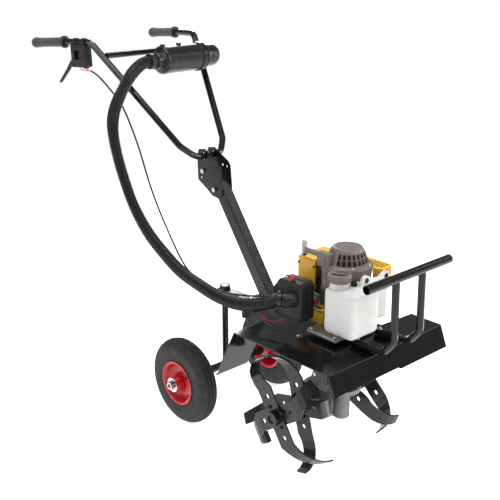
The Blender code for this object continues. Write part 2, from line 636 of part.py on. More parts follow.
# ------------------------------------------------------------------ gearbox, worm and tine shaft
CASE_R = 0.0665
CASE_Y = 0.030
case = rod("gearbox_case", "aluminium", CASE_R, 2 * CASE_Y, (ROTOR_X, 0, ROTOR_Z), "y", 32, edge=0.003)
boolean(case, rod("gearbox_worm_barrel", "aluminium", 0.0245, 0.110, (CRANK_X, 0, 0.201), "z", 22, edge=0.002), "UNION")
boolean(case, rod("gearbox_flange", "aluminium", 0.0550, 0.015, (CRANK_X, 0, 0.2425), "z", 28, edge=0.001), "UNION")
boolean(case, rod("gearbox_tower", "aluminium", 0.0350, 0.128, (CRANK_X, 0, 0.3065), "z", 26, edge=0.002), "UNION")
boolean(case, rod("gearbox_boss", "aluminium", 0.021, 0.092, (ROTOR_X, 0, ROTOR_Z), "y", 20, edge=0.002), "UNION")
cut_rod(case, WORM_WHEEL_R + 0.0035, 0.046, (ROTOR_X, 0, ROTOR_Z), "y", 28)
cut_rod(case, SHAFT_R + GAP, 0.12, (ROTOR_X, 0, ROTOR_Z), "y", 20)
cut_rod(case, WORM_R + 0.0022, 0.26, (CRANK_X, 0, 0.280), "z", 20)
rod("tine_shaft", "dark_steel", SHAFT_R, 0.424, (ROTOR_X, 0, ROTOR_Z), "y", 20, ROTOR, 0.001)
teeth = [(SHAFT_R + GAP, 0.009), (WORM_WHEEL_R, 0.009), (WORM_WHEEL_R - 0.0015, 0.0), (WORM_WHEEL_R, -0.009),
         (SHAFT_R + GAP, -0.009)]
turned("worm_wheel", "dark_steel", teeth, (ROTOR_X, 0, ROTOR_Z), "y", 32, ROTOR)
turned("worm_shaft", "dark_steel", [
    (0.0, 0.428), (0.0075, 0.4275), (0.008, 0.427), (0.008, 0.222), (WORM_R, 0.215), (WORM_R, 0.152), (0.010, 0.150),
    (0.0, 0.150),
], (CRANK_X, 0, 0.0), "z", 20, WORM)
turned("clutch_drum", "dark_steel", [
    (0.033, 0.449), (0.036, 0.449), (0.036, 0.425), (0.0082, 0.425), (0.0082, 0.428), (0.033, 0.428),
], (CRANK_X, 0, 0.0), "z", 24, WORM)

HUB_Y = {"right_outer": -0.192, "right_inner": -0.098, "left_inner": 0.098, "left_outer": 0.192}
BEND = {"right_outer": 1, "right_inner": -1, "left_inner": 1, "left_outer": -1}
PHASE = {"right_outer": 56.0, "right_inner": 75.0, "left_inner": 22.0, "left_outer": 43.0}
SWEEP = {"right_outer": -0.70, "right_inner": -0.45, "left_inner": 0.25, "left_outer": 0.0}


def strip_sections(sense, sweep):
    """Rings of a flat blade strip through the shaft centre, both ends hooked to the same side."""
    t = STRIP_T / 2
    line = [(0.000, 0.0, STRIP_W / 2), (0.088, 0.0, 0.0290), (0.110, 0.0025, 0.0255), (0.129, 0.0095, 0.0240),
            (0.147, 0.0215, 0.0225), (0.160, 0.0380, 0.0205), (0.168, 0.0560, 0.0190), (0.171, 0.0740, 0.0170)]
    half = []
    for i, (radius, out, half_w) in enumerate(line):
        before = line[max(i - 1, 0)]
        after = line[min(i + 1, len(line) - 1)]
        d = Vector((after[0] - before[0], after[1] - before[1])).normalized()
        normal = Vector((-d.y, d.x))
        shift = sweep * max(0.0, radius - 0.09)
        half.append((radius, out, half_w, normal, shift))
    rings = []
    for sign, seq in ((-1, list(reversed(half[1:]))), (1, half[1:])):
        for radius, out, half_w, normal, shift in seq:
            ring_points = []
            for w, k in ((-1, -1), (1, -1), (1, 1), (-1, 1)):
                r = sign * (radius + normal.x * t * k * sense)
                y = sense * out + normal.y * t * k
                across = w * half_w + sign * shift
                ring_points.append((across, y, r))
            rings.append(ring_points)
    return rings


for key, hub_y in HUB_Y.items():
    sense = BEND[key]
    blades = []
    for n, letter in enumerate("ab"):
        offset = (0.5 - n) * (STRIP_T - 0.0002) * sense
        turn = (0.0, math.radians(PHASE[key] + 90.0 * n), 0.0)
        blades.append(loft(key + "_blade_" + letter, "black_paint", strip_sections(sense, SWEEP[key]),
                           (ROTOR_X, hub_y + offset, ROTOR_Z), ROTOR, turn, 30))
    star = blades[0]
    star.name = key + "_tines"
    boolean(star, blades[1], "UNION")
    boolean(star, rod(key + "_hub", "black_paint", 0.0225, 0.024, (ROTOR_X, hub_y - sense * 0.012, ROTOR_Z), "y", 20,
                      ROTOR, 0.001), "UNION")
    cut_rod(star, SHAFT_R + GAP, 0.08, (ROTOR_X, hub_y, ROTOR_Z), "y", 20, ROTOR)
    for n in range(4):
        a = math.radians(PHASE[key] + 90.0 * n)
        spot = (ROTOR_X + 0.064 * math.sin(a), hub_y, ROTOR_Z + 0.064 * math.cos(a))
        cut_rod(star, 0.0075, 0.05, spot, "y", 16, ROTOR)

# ------------------------------------------------------------------ wheel frame and wheels
AXLE_Z = WHEEL_R
post_top = 0.421
post = rod("wheel_post", "black_paint", 0.0105, post_top - AXLE_Z, (WHEEL_X, POST_Y, (post_top + AXLE_Z) / 2), "z", 18,
           WHEELS, 0.001)
boolean(post, rod("wheel_cross", "black_paint", 0.0135, 2 * 0.142, (WHEEL_X, 0, AXLE_Z), "y", 20, WHEELS, 0.001), "UNION")
cut_rod(post, AXLE_R + GAP, 0.4, (WHEEL_X, 0, AXLE_Z), "y", 18, WHEELS)
HUB_END = 0.0490
half_axle = [
    (0.0, 0.2565), (0.0118, 0.2565), (0.0125, 0.2558), (0.0125, WHEEL_Y + HUB_END + 0.0024),
    (0.0240, WHEEL_Y + HUB_END + 0.0023), (0.0240, WHEEL_Y + HUB_END + GAP), (AXLE_R, WHEEL_Y + HUB_END + GAP),
]
other_half = [(radius, -height) for radius, height in reversed(half_axle)]
turned("wheel_axle", "zinc", half_axle + other_half, (WHEEL_X, 0, AXLE_Z), "y", 20, WHEELS)

for side, tag, axis in ((-1, "right", WHEEL_R_AXIS), (1, "left", WHEEL_L_AXIS)):
    centre = (WHEEL_X, side * WHEEL_Y, AXLE_Z)
    out_axis = "y" if side > 0 else "-y"
    tread = [
        (0.0660, 0.0210), (0.0700, 0.0280), (0.0840, 0.0330), (0.1080, 0.0325), (0.1260, 0.0275), (0.1370, 0.0170),
        (0.1400, 0.0), (0.1370, -0.0170), (0.1260, -0.0275), (0.1080, -0.0325), (0.0840, -0.0330), (0.0700, -0.0280),
        (0.0660, -0.0210),
    ]
    turned(tag + "_tyre", "rubber", tread, centre, out_axis, 28, axis, smooth=60)
    rim = [
        (0.0102, HUB_END), (0.0180, HUB_END), (0.0185, HUB_END - 0.001), (0.0185, 0.0160), (0.0480, 0.0110),
        (0.0560, 0.0180), (0.0620, 0.0330), (0.0725, 0.0340), (0.0728, 0.0320), (0.0657, 0.0290), (0.0657, -0.0290),
        (0.0728, -0.0320), (0.0725, -0.0340), (0.0620, -0.0330), (0.0600, -0.0100), (0.0480, 0.0070),
        (0.0185, 0.0110), (0.0185, -0.0390), (0.0180, -0.0400), (0.0102, -0.0400),
    ]
    turned(tag + "_rim", "red_paint", rim, centre, out_axis, 28, axis)

# ------------------------------------------------------------------ front bumper
bumper = rod("bumper", "black_paint", 0.0125, 2 * 0.1727, (BUMPER_X, 0, BUMPER_TOP), "y", 20, edge=0.0005)
for side, tag in ((-1, "right"), (1, "left")):
    y = side * 0.055
    corners = [(BUMPER_X, y, BUMPER_TOP - 0.004), (BUMPER_X + 0.004, y, 0.475), (0.400, y, 0.4375),
               (0.345, y * 0.95, PLATE_TOP + TUBE_R + GAP + 0.001), (0.285, y * 0.9, PLATE_TOP + TUBE_R + GAP + 0.001)]
    leg = curve_tube(tag + "_bumper_leg", "black_paint", fillet_path(corners, 0.030, 3), TUBE_R, corners[0], ROOT, 2)
    boolean(bumper, solid(leg), "UNION")
for side in (-1, 1):
    cut_rod(bumper, 0.0105, 0.20, (BUMPER_X, side * 0.165, BUMPER_TOP), "y", 18)

# ------------------------------------------------------------------ engine
FLANGE_Z0, FLANGE_Z1 = 0.4290, 0.4410
turned("engine_pedestal", "dark_steel", [
    (0.040, FLANGE_Z0 - GAP), (0.056, FLANGE_Z0 - GAP), (0.056, PLATE_TOP + GAP), (0.040, PLATE_TOP + GAP),
], (CRANK_X, 0, 0), "z", 26)
flange = box("engine_flange", "aluminium", 0.160, 0.270, -0.104, 0.060, FLANGE_Z0, FLANGE_Z1, edge=0.004)
cut_rod(flange, 0.038, 0.1, (CRANK_X, 0, 0.435), "z", 24)
crankcase = box("crankcase", "aluminium", 0.152, 0.262, -0.048, 0.048, FLANGE_Z1 + GAP, 0.5500, edge=0.006)
cut_rod(crankcase, 0.030, 0.2, (CRANK_X, 0, 0.5), "z", 20)
cut_rod(crankcase, 0.038, 0.030, (CRANK_X, 0, 0.436), "z", 24)
CYL_Z = 0.508
profile = [(0.0, 0.062), (0.026, 0.062)]
for i in range(4):
    top = 0.056 - i * 0.014
    profile += [(0.026, top), (0.041, top), (0.041, top - 0.004), (0.026, top - 0.004)]
profile += [(0.026, 0.0), (0.0, 0.0)]
turned("cylinder", "aluminium", profile, (0.1515, 0, CYL_Z), "-x", 18, smooth=30)
turned("spark_plug", "light_grey", [(0.0, 0.030), (0.006, 0.030), (0.008, 0.027), (0.008, 0.012), (0.0095, 0.011),
                                   (0.0095, 0.0), (0.0, 0.0)], (0.0892, 0.0, CYL_Z), "-x", 14)
SHROUD_TOP = 0.632
shroud = box("engine_shroud", "yellow", 0.076, 0.1500, -0.0610, 0.0500, 0.4700, SHROUD_TOP, edge=0.009, segments=3)
cut_box(shroud, 0.0785, 0.1700, -0.0585, 0.0475, 0.40, SHROUD_TOP - 0.0025, edge=0.0065)
cut_rod(shroud, 0.0112, 0.05, (0.076, 0.0, CYL_Z), "x", 16)
skirt = box("engine_shroud_skirt", "yellow", 0.128, 0.1820, -0.0610, -0.0582, 0.4460, 0.5050, edge=0.0)
boolean(shroud, skirt, "UNION")
cut_rod(shroud, 0.0745, 0.10, (CRANK_X, 0, 0.6015), "z", 28)
muffler = box("muffler", "dark_steel", 0.155, 0.262, 0.0490, 0.100, 0.485, 0.5490, edge=0.008)
cover_shape = [(0.150, 0.052), (0.150, 0.090), (0.156, 0.096), (0.286, 0.096), (0.3015, 0.085), (0.3015, 0.048),
               (0.270, 0.036), (0.170, 0.036)]
inner_shape = [(0.153, 0.055), (0.153, 0.089), (0.157, 0.093), (0.285, 0.093), (0.2985, 0.0835), (0.2985, 0.051),
               (0.270, 0.039), (0.170, 0.039)]
cover = panel("muffler_cover", "yellow", cover_shape, [], 0.030, (0.0, 0.0, 0.6048), (1, 0, 0), (0, 1, 0), ROOT, 0.002)
boolean(cover, panel("muffler_cover_hollow", "zinc", inner_shape, [], 0.060, (0.0, 0.0, 0.5868), (1, 0, 0), (0, 1, 0)))
cut_rod(cover, 0.0738, 0.3, (CRANK_X, 0, 0.6), "z", 28)
turned("crankshaft", "dark_steel", [
    (0.0, 0.600), (0.008, 0.599), (0.008, 0.545), (0.022, 0.545), (0.022, 0.480), (0.008, 0.480), (0.008, 0.447),
    (0.031, 0.447), (0.031, 0.4295), (0.0, 0.4290),
], (CRANK_X, 0, 0), "z", 18, CRANK)
ring("flywheel", "aluminium", 0.0083, 0.058, 0.020, (CRANK_X, 0, 0.572), "z", 26, CRANK, 0.002)
turned("fan_housing", "grey_plastic", [
    (0.0665, 0.6040), (0.0700, 0.6040), (0.0700, 0.5530), (0.0320, 0.5505), (0.0320, 0.5530), (0.0665, 0.5560),
], (CRANK_X, 0, 0), "z", 28)
starter = turned("starter_housing", "grey_plastic", [
    (0.0, 0.676), (0.036, 0.676), (0.042, 0.674), (0.047, 0.667), (0.0535, 0.650), (0.0600, 0.632), (0.0700, 0.628),
    (0.0720, 0.624), (0.0720, 0.6045), (0.0680, 0.6045), (0.0680, 0.622), (0.0570, 0.628), (0.0500, 0.650),
    (0.0445, 0.663), (0.040, 0.671), (0.0, 0.673),
], (CRANK_X, 0, 0), "z", 28)
ROPE_Y, ROPE_Z = -0.062, 0.654
boolean(starter, box("starter_rope_boss", "grey_plastic", 0.162, 0.206, ROPE_Y - 0.009, -0.0515, 0.6235, 0.664), "UNION")
boolean(starter, rod("starter_rope_guide", "grey_plastic", 0.0078, 0.072, (0.1495, ROPE_Y, ROPE_Z), "x", 18), "UNION")
cut_rod(starter, 0.0030, 0.060, (0.138, ROPE_Y, ROPE_Z), "x", 12)
ring("starter_reel", "black_plastic", 0.006, 0.040, 0.010, (CRANK_X, 0, 0.640), "z", 24, REEL)
HANDLE_X = 0.1055
PULL = pivot("starter_pull_axis", (HANDLE_X, ROPE_Y, ROPE_Z))
rod("starter_handle", "light_grey", 0.0075, 0.046, (HANDLE_X, ROPE_Y, 0.658), "z", 14, PULL, 0.003)

tank = box("fuel_tank", "tank_white", 0.243, 0.350, -0.131, -0.018, 0.468, 0.598, edge=0.015, segments=3)
boolean(tank, box("fuel_tank_lobe", "tank_white", 0.262, 0.3145, -0.040, 0.060, 0.480, 0.588, edge=0.010, segments=2), "UNION")
ears = [(-0.062, 0.586), (-0.056, 0.606), (-0.046, 0.621), (-0.034, 0.6245), (-0.022, 0.619), (-0.006, 0.608),
        (0.022, 0.606), (0.036, 0.615), (0.046, 0.6185), (0.056, 0.614), (0.062, 0.600), (0.062, 0.560), (-0.062, 0.560)]
boolean(tank, panel("fuel_tank_ears", "tank_white", ears, [], 0.0085, (0.3085, 0.0, 0.0), (0, 1, 0), (0, 0, 1)), "UNION")
cut_rod(tank, 0.0755, 0.4, (CRANK_X, 0, 0.5), "z", 28)
boolean(tank, rod("fuel_tank_neck", "tank_white", 0.0265, 0.034, (0.270, -0.096, 0.597), "z", 20), "UNION")
CAP = pivot("fuel_cap_axis", (0.270, -0.096, 0.620))
turned("fuel_cap", "grey_plastic", [
    (0.0, 0.6290), (0.0215, 0.6290), (0.0235, 0.6345), (0.0265, 0.6365), (0.0305, 0.6345), (0.0325, 0.6290),
    (0.0325, 0.6145), (0.0, 0.6145),
], (0.270, -0.096, 0), "z", 22, CAP)
carb = box("carburettor", "aluminium", 0.1290, 0.1680, -0.0975, -0.0625, 0.500, 0.540, edge=0.004)
cut_rod(carb, 0.0086, 0.022, (0.1680, -0.080, 0.520), "x", 20)
PRIMER_AT = (0.1680, -0.080, 0.520)
PRIMER = pivot("primer_bulb_axis", PRIMER_AT)
turned("primer_bulb", "red_paint", [(0.0, 0.009), (0.004, 0.0082), (0.007, 0.0055), (0.008, 0.001), (0.008, -0.005),
                                    (0.0, -0.005)], PRIMER_AT, "x", 14, PRIMER)
CABLE_POINTS = [
    (-0.700, -0.212, 1.078), (-0.676, -0.205, 1.066), (-0.638, -0.190, 1.030), (-0.580, -0.180, 0.974),
    (-0.525, -0.170, 0.868), (-0.468, -0.166, 0.737), (-0.405, -0.166, 0.638), (-0.312, -0.169, 0.530),
    (-0.238, -0.172, 0.4965), (-0.150, -0.170, 0.486), (-0.070, -0.158, 0.489), (-0.005, -0.128, 0.496),
    (0.040, -0.098, 0.505), (0.080, -0.083, 0.514), (0.1278, -0.080, 0.5180),
]
cable_path = smooth_path(CABLE_POINTS, 0.030)
curve_tube("throttle_cable", "black_plastic", cable_path, CABLE_R, cable_path[0], ROOT, 2)
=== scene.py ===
"""Look of the tiller: camera, studio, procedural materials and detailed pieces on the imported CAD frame.

Positions are in metres in the row frame; at() turns the machine's own X into it.
"""
import math

import bmesh
import bpy
from mathutils import Matrix, Vector


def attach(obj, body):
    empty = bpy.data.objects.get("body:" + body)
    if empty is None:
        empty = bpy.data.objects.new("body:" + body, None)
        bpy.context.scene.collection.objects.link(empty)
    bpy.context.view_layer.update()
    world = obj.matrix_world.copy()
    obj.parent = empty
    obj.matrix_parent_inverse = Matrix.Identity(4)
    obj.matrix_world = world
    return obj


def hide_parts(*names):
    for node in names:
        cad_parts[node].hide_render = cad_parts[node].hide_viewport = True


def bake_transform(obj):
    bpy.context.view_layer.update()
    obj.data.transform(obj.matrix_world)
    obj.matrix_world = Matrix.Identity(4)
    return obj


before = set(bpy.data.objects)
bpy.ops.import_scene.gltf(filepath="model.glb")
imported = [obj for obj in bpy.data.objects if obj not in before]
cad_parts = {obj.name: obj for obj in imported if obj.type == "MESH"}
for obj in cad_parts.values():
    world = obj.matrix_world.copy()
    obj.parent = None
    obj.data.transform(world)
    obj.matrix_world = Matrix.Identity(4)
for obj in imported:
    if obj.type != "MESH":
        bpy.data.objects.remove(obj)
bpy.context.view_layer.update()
ROOT_X = 0.27225
DECK_Z = 0.4184
CRANK_X = 0.210
UP = (0, 0, 1)


def at(x, y, z):
    return Vector((x + ROOT_X, y, z))


# ------------------------------------------------------------------ camera, light, floor
camera_data = bpy.data.cameras.new("camera")
camera_data.sensor_width = 36.0
camera_data.lens = 65.05
camera = bpy.data.objects.new("camera", camera_data)
bpy.context.scene.collection.objects.link(camera)
camera.location = (2.03645, -1.7919, 1.4907)
camera.rotation_euler = (math.radians(70.6457), 0.0, math.radians(47.4445))
bpy.context.scene.camera = camera
bpy.context.scene.view_settings.view_transform = "Standard"


def area_light(name, location, target, size, power, colour=(1.0, 1.0, 1.0)):
    data = bpy.data.lights.new(name, "AREA")
    data.shape = "RECTANGLE"
    data.size, data.size_y = size
    data.energy = power
    data.color = colour
    light = bpy.data.objects.new(name, data)
    bpy.context.scene.collection.objects.link(light)
    light.location = location
    light.rotation_euler = (Vector(target) - Vector(location)).to_track_quat("-Z", "Y").to_euler()
    light.visible_camera = False
    return light


area_light("key_right", (2.6, 0.7, 2.0), (0.1, 0.0, 0.5), (1.5, 1.8), 44, (1.0, 0.99, 0.97))
area_light("fill_left", (-0.7, -2.7, 1.9), (0.0, 0.0, 0.6), (1.8, 1.2), 22, (0.97, 0.98, 1.0))
area_light("top", (0.1, -0.1, 3.0), (0.1, 0.0, 0.4), (2.0, 1.4), 46)
area_light("strip_back", (-1.9, 1.5, 1.7), (0.0, 0.0, 0.7), (0.35, 2.0), 26)
area_light("strip_side", (1.3, 2.3, 1.5), (0.2, 0.0, 0.5), (0.3, 2.0), 20)

world = bpy.data.worlds.new("studio")
bpy.context.scene.world = world
world.use_nodes = True
nodes = world.node_tree.nodes
nodes.clear()
path = nodes.new("ShaderNodeLightPath")
seen = nodes.new("ShaderNodeBackground")
seen.inputs["Color"].default_value = (1.0, 1.0, 1.0, 1.0)
seen.inputs["Strength"].default_value = 1.0
around = nodes.new("ShaderNodeBackground")
around.inputs["Color"].default_value = (0.95, 0.97, 1.0, 1.0)
around.inputs["Strength"].default_value = 0.24
choose = nodes.new("ShaderNodeMixShader")
sky = nodes.new("ShaderNodeOutputWorld")
link = world.node_tree.links.new
link(path.outputs["Is Camera Ray"], choose.inputs["Fac"])
link(around.outputs[0], choose.inputs[1])
link(seen.outputs[0], choose.inputs[2])
link(choose.outputs[0], sky.inputs["Surface"])


# ------------------------------------------------------------------ materials
class Graph:
    """Small helper round one material's node tree."""

    def __init__(self, name):
        self.mat = bpy.data.materials.new(name)
        self.mat.use_nodes = True
        self.tree = self.mat.node_tree
        self.shader = self.tree.nodes["Principled BSDF"]
        self.coords = self.tree.nodes.new("ShaderNodeTexCoord").outputs["Object"]
        self.normal = None

    def node(self, kind, **values):
        item = self.tree.nodes.new(kind)
        for key, value in values.items():
            if hasattr(item, key):
                setattr(item, key, value)
            else:
                item.inputs[key.replace("_", " ").title()].default_value = value
        return item

    def link(self, a, b):
        self.tree.links.new(a, b)

    def noise(self, scale, detail=3.0, roughness=0.55, stretch=None):
        item = self.node("ShaderNodeTexNoise", Scale=scale, Detail=detail, Roughness=roughness)
        source = self.coords
        if stretch is not None:
            mapping = self.node("ShaderNodeMapping")
            mapping.inputs["Scale"].default_value = stretch
            self.link(self.coords, mapping.inputs["Vector"])
            source = mapping.outputs[0]
        self.link(source, item.inputs["Vector"])
        return item.outputs["Fac"]

    def voronoi(self, scale, feature="F1"):
        item = self.node("ShaderNodeTexVoronoi", feature=feature)
        item.inputs["Scale"].default_value = scale
        self.link(self.coords, item.inputs["Vector"])
        return item.outputs["Distance"]

    def ramp(self, factor, stops):
        item = self.node("ShaderNodeValToRGB")
        ramp = item.color_ramp
        while len(ramp.elements) < len(stops):
            ramp.elements.new(0.5)
        for element, (place, colour) in zip(ramp.elements, stops):
            element.position = place
            element.color = (*colour, 1.0) if hasattr(colour, "__len__") else (colour, colour, colour, 1.0)
        self.link(factor, item.inputs["Fac"])
        return item.outputs["Color"]

    def spread(self, factor, low, high, start=0.3, end=0.7):
        item = self.node("ShaderNodeMapRange")
        for key, value in (("From Min", start), ("From Max", end), ("To Min", low), ("To Max", high)):
            item.inputs[key].default_value = value
        self.link(factor, item.inputs["Value"])
        return item.outputs["Result"]

    def mix(self, factor, a, b):
        item = self.node("ShaderNodeMix", data_type="RGBA")
        self.link(factor, item.inputs["Factor"])
        for source, socket in ((a, item.inputs["A"]), (b, item.inputs["B"])):
            sockets = [s for s in item.inputs if s.name == socket.name and s.type == "RGBA"]
            if hasattr(source, "is_linked"):
                self.link(source, sockets[0])
            else:
                sockets[0].default_value = (*source, 1.0)
        return [s for s in item.outputs if s.type == "RGBA"][0]

    def math(self, operation, a, b):
        item = self.node("ShaderNodeMath", operation=operation)
        for i, value in enumerate((a, b)):
            if hasattr(value, "is_linked"):
                self.link(value, item.inputs[i])
            else:
                item.inputs[i].default_value = value
        return item.outputs[0]

    def bump(self, height, strength, distance):
        item = self.node("ShaderNodeBump")
        item.inputs["Strength"].default_value = strength
        item.inputs["Distance"].default_value = distance
        self.link(height, item.inputs["Height"])
        if self.normal is not None:
            self.link(self.normal, item.inputs["Normal"])
        self.normal = item.outputs["Normal"]

    def bevel(self, radius):
        item = self.node("ShaderNodeBevel")
        item.samples = 4
        item.inputs["Radius"].default_value = radius
        if self.normal is not None:
            self.link(self.normal, item.inputs["Normal"])
        self.normal = item.outputs["Normal"]

    def edges(self, low=0.52, high=0.58):
        """Mask that is white on convex edges."""
        geometry = self.node("ShaderNodeNewGeometry")
        return self.spread(geometry.outputs["Pointiness"], 0.0, 1.0, low, high)

    def done(self, colour=None, roughness=None, **constants):
        if colour is not None:
            self.link(colour, self.shader.inputs["Base Color"])
        if roughness is not None:
            self.link(roughness, self.shader.inputs["Roughness"])
        if self.normal is not None:
            self.link(self.normal, self.shader.inputs["Normal"])
        for key, value in constants.items():
            socket = self.shader.inputs[key.replace("_", " ")]
            socket.default_value = (*value, 1.0) if key.endswith(("Tint", "Color")) else value
        return self.mat


def painted(name, dark, light, rough=(0.2, 0.34), peel=0.10, dust=0.0, round_edges=0.0012, coat=0.0, chips=0.0):
    """Powder coat or paint: mottled colour, orange peel, uneven gloss, a little dust and worn edges."""
    g = Graph(name)
    if round_edges:
        g.bevel(round_edges)
    colour = g.ramp(g.noise(11.0, 4.0), [(0.3, dark), (0.7, light)])
    if dust:
        fleck = g.spread(g.noise(140.0, 5.0, 0.7), 0.0, dust, 0.56, 0.74)
        colour = g.mix(fleck, colour, (0.20, 0.18, 0.165))
    if chips:
        worn = g.math("MULTIPLY", g.edges(), g.spread(g.noise(260.0, 4.0, 0.7), 0.0, chips, 0.45, 0.62))
        colour = g.mix(worn, colour, (0.24, 0.22, 0.21))
    roughness = g.spread(g.noise(34.0, 5.0), rough[0], rough[1])
    g.bump(g.noise(620.0, 2.0), peel, 0.0004)
    g.bump(g.noise(60.0, 3.0), peel * 0.5, 0.0008)
    return g.done(colour, roughness, Coat_Weight=coat, Coat_Roughness=0.12, Specular_IOR_Level=0.36)


def plastic(name, dark, light, rough=(0.42, 0.58), grain=0.16, grain_scale=1500.0, dust=0.0, round_edges=0.0010,
            coat=0.0, scratches=0.0, sheen=0.0, subsurface=0.0):
    """Moulded plastic or rubber: fine spark-eroded grain, faint flow marks and rubbed patches."""
    g = Graph(name)
    if round_edges:
        g.bevel(round_edges)
    colour = g.ramp(g.noise(16.0, 5.0), [(0.3, dark), (0.7, light)])
    if dust:
        fleck = g.spread(g.noise(210.0, 6.0, 0.75), 0.0, dust, 0.54, 0.76)
        colour = g.mix(fleck, colour, (0.26, 0.24, 0.22))
    roughness = g.spread(g.noise(48.0, 6.0), rough[0], rough[1])
    g.bump(g.noise(grain_scale, 2.0), grain, 0.0003)
    g.bump(g.noise(70.0, 2.0), grain * 0.4, 0.0010)
    if scratches:
        g.bump(g.noise(90.0, 6.0, 0.8, (1.0, 14.0, 2.0)), scratches, 0.0003)
    extra = {}
    if subsurface:
        extra = {"Subsurface_Weight": subsurface, "Subsurface_Scale": 0.02, "Subsurface_Radius": (1.0, 0.9, 0.8)}
    return g.done(colour, roughness, Coat_Weight=coat, Coat_Roughness=0.15, Sheen_Weight=sheen,
                  Specular_IOR_Level=0.36, **extra)


def metal(name, dark, light, rough=(0.28, 0.42), grain=0.12, grain_scale=700.0, metallic=1.0, stretch=None,
          round_edges=0.0008, stain=0.0):
    """Cast, plated or turned metal: tonal mottling, grain, stains in the hollows."""
    g = Graph(name)
    if round_edges:
        g.bevel(round_edges)
    colour = g.ramp(g.noise(22.0, 6.0, 0.65), [(0.28, dark), (0.72, light)])
    if stain:
        spots = g.spread(g.noise(75.0, 5.0, 0.7), 0.0, stain, 0.52, 0.7)
        colour = g.mix(spots, colour, (0.06, 0.05, 0.045))
    roughness = g.spread(g.noise(90.0, 5.0), rough[0], rough[1])
    g.bump(g.noise(grain_scale, 3.0, 0.6, stretch), grain, 0.0004)
    return g.done(colour, roughness, Metallic=metallic)


def cloth(name, dark, light):
    """Woven or felted sheet."""
    g = Graph(name)
    colour = g.ramp(g.noise(300.0, 6.0, 0.8), [(0.3, dark), (0.7, light)])
    g.bump(g.voronoi(900.0), 0.5, 0.0006)
    return g.done(colour, g.spread(g.noise(120.0), 0.85, 0.98), Sheen_Weight=0.3)


def foam_skin(name):
    """Closed-cell foam with its open pores."""
    g = Graph(name)
    colour = g.ramp(g.noise(120.0, 5.0, 0.7), [(0.3, (0.020, 0.020, 0.021)), (0.7, (0.040, 0.039, 0.040))])
    g.bump(g.voronoi(1300.0), 0.55, 0.0005)
    g.bump(g.noise(90.0, 4.0), 0.2, 0.0010)
    return g.done(colour, g.spread(g.noise(60.0), 0.78, 0.95), Sheen_Weight=0.25)


M = {
    "deck_paint": painted("deck_paint", (0.0055, 0.0055, 0.0062), (0.0085, 0.0083, 0.0090), (0.09, 0.17), 0.035),
    "black_paint": painted("black_paint", (0.0070, 0.0070, 0.0078), (0.0115, 0.0113, 0.0120)),
    "tube_paint": painted("tube_paint", (0.0065, 0.0065, 0.0072), (0.0105, 0.0102, 0.0110), (0.12, 0.20), 0.04),
    "tine_paint": painted("tine_paint", (0.010, 0.0098, 0.010), (0.016, 0.0155, 0.0155), (0.20, 0.30), 0.05,
                          chips=0.10),
    "black_plastic": plastic("black_plastic", (0.0085, 0.0085, 0.009), (0.014, 0.014, 0.0148), dust=0.015),
    "gloss_plastic": plastic("gloss_plastic", (0.008, 0.008, 0.0085), (0.0125, 0.0125, 0.0132), (0.22, 0.34),
                             0.05),
    "foam": foam_skin("foam"),
    "rubber": plastic("rubber", (0.009, 0.009, 0.0098), (0.015, 0.0146, 0.015), (0.34, 0.48), 0.12, 900.0, dust=0.02,
                      round_edges=0.0),
    "tyre": plastic("tyre", (0.020, 0.020, 0.0205), (0.034, 0.033, 0.033), (0.58, 0.8), 0.3, 1100.0, dust=0.10,
                    round_edges=0.0),
    "yellow": plastic("yellow", (0.80, 0.42, 0.012), (0.90, 0.52, 0.022), (0.26, 0.38), 0.05, 1400.0, dust=0.02,
                      coat=0.25, scratches=0.05),
    "orange": plastic("orange", (0.76, 0.21, 0.006), (0.86, 0.27, 0.010), (0.28, 0.4), 0.05, coat=0.2),
    "grey_plastic": plastic("grey_plastic", (0.150, 0.120, 0.116), (0.195, 0.158, 0.153), (0.36, 0.5), 0.14,
                            dust=0.04),
    "light_grey": plastic("light_grey", (0.44, 0.41, 0.41), (0.54, 0.51, 0.51), (0.38, 0.5), 0.1),
    "tank_white": plastic("tank_white", (0.66, 0.645, 0.635), (0.74, 0.73, 0.715), (0.30, 0.42), 0.06, 900.0,
                          subsurface=0.35, round_edges=0.002),
    "red_paint": painted("red_paint", (0.42, 0.004, 0.010), (0.56, 0.008, 0.016), (0.22, 0.34), 0.10, 0.03,
                         coat=0.2),
    "red_plastic": plastic("red_plastic", (0.46, 0.010, 0.012), (0.60, 0.022, 0.020), (0.3, 0.42), 0.06),
    "zinc": metal("zinc", (0.50, 0.51, 0.50), (0.72, 0.72, 0.69), (0.18, 0.34), 0.08, 500.0, stain=0.08),
    "aluminium": metal("aluminium", (0.33, 0.32, 0.31), (0.50, 0.49, 0.48), (0.38, 0.55), 0.4, 600.0, 0.85,
                       stain=0.25),
    "cast": metal("cast", (0.15, 0.145, 0.14), (0.26, 0.25, 0.24), (0.42, 0.58), 0.3, 500.0, 0.7, stain=0.3),
    "dark_steel": metal("dark_steel", (0.030, 0.029, 0.029), (0.065, 0.060, 0.058), (0.32, 0.5), 0.2, 500.0, 0.8,
                        stain=0.2),
    "filter": cloth("filter", (0.42, 0.33, 0.18), (0.60, 0.50, 0.30)),
    "fuel_line": plastic("fuel_line", (0.36, 0.44, 0.05), (0.47, 0.55, 0.09), (0.16, 0.28), 0.04, coat=0.3),
    "red_wire": plastic("red_wire", (0.50, 0.008, 0.012), (0.62, 0.016, 0.02), (0.35, 0.45), 0.05),
    "black_wire": plastic("black_wire", (0.010, 0.010, 0.011), (0.018, 0.018, 0.019), (0.35, 0.5), 0.08),
    # painted shade: a flat near-black colour standing in for the shade inside vents and slots that are not cut
    # through
    "painted_hole_shade": plastic("painted_hole_shade", (0.004, 0.004, 0.004), (0.008, 0.008, 0.008), (0.7, 0.9), 0.1),
}


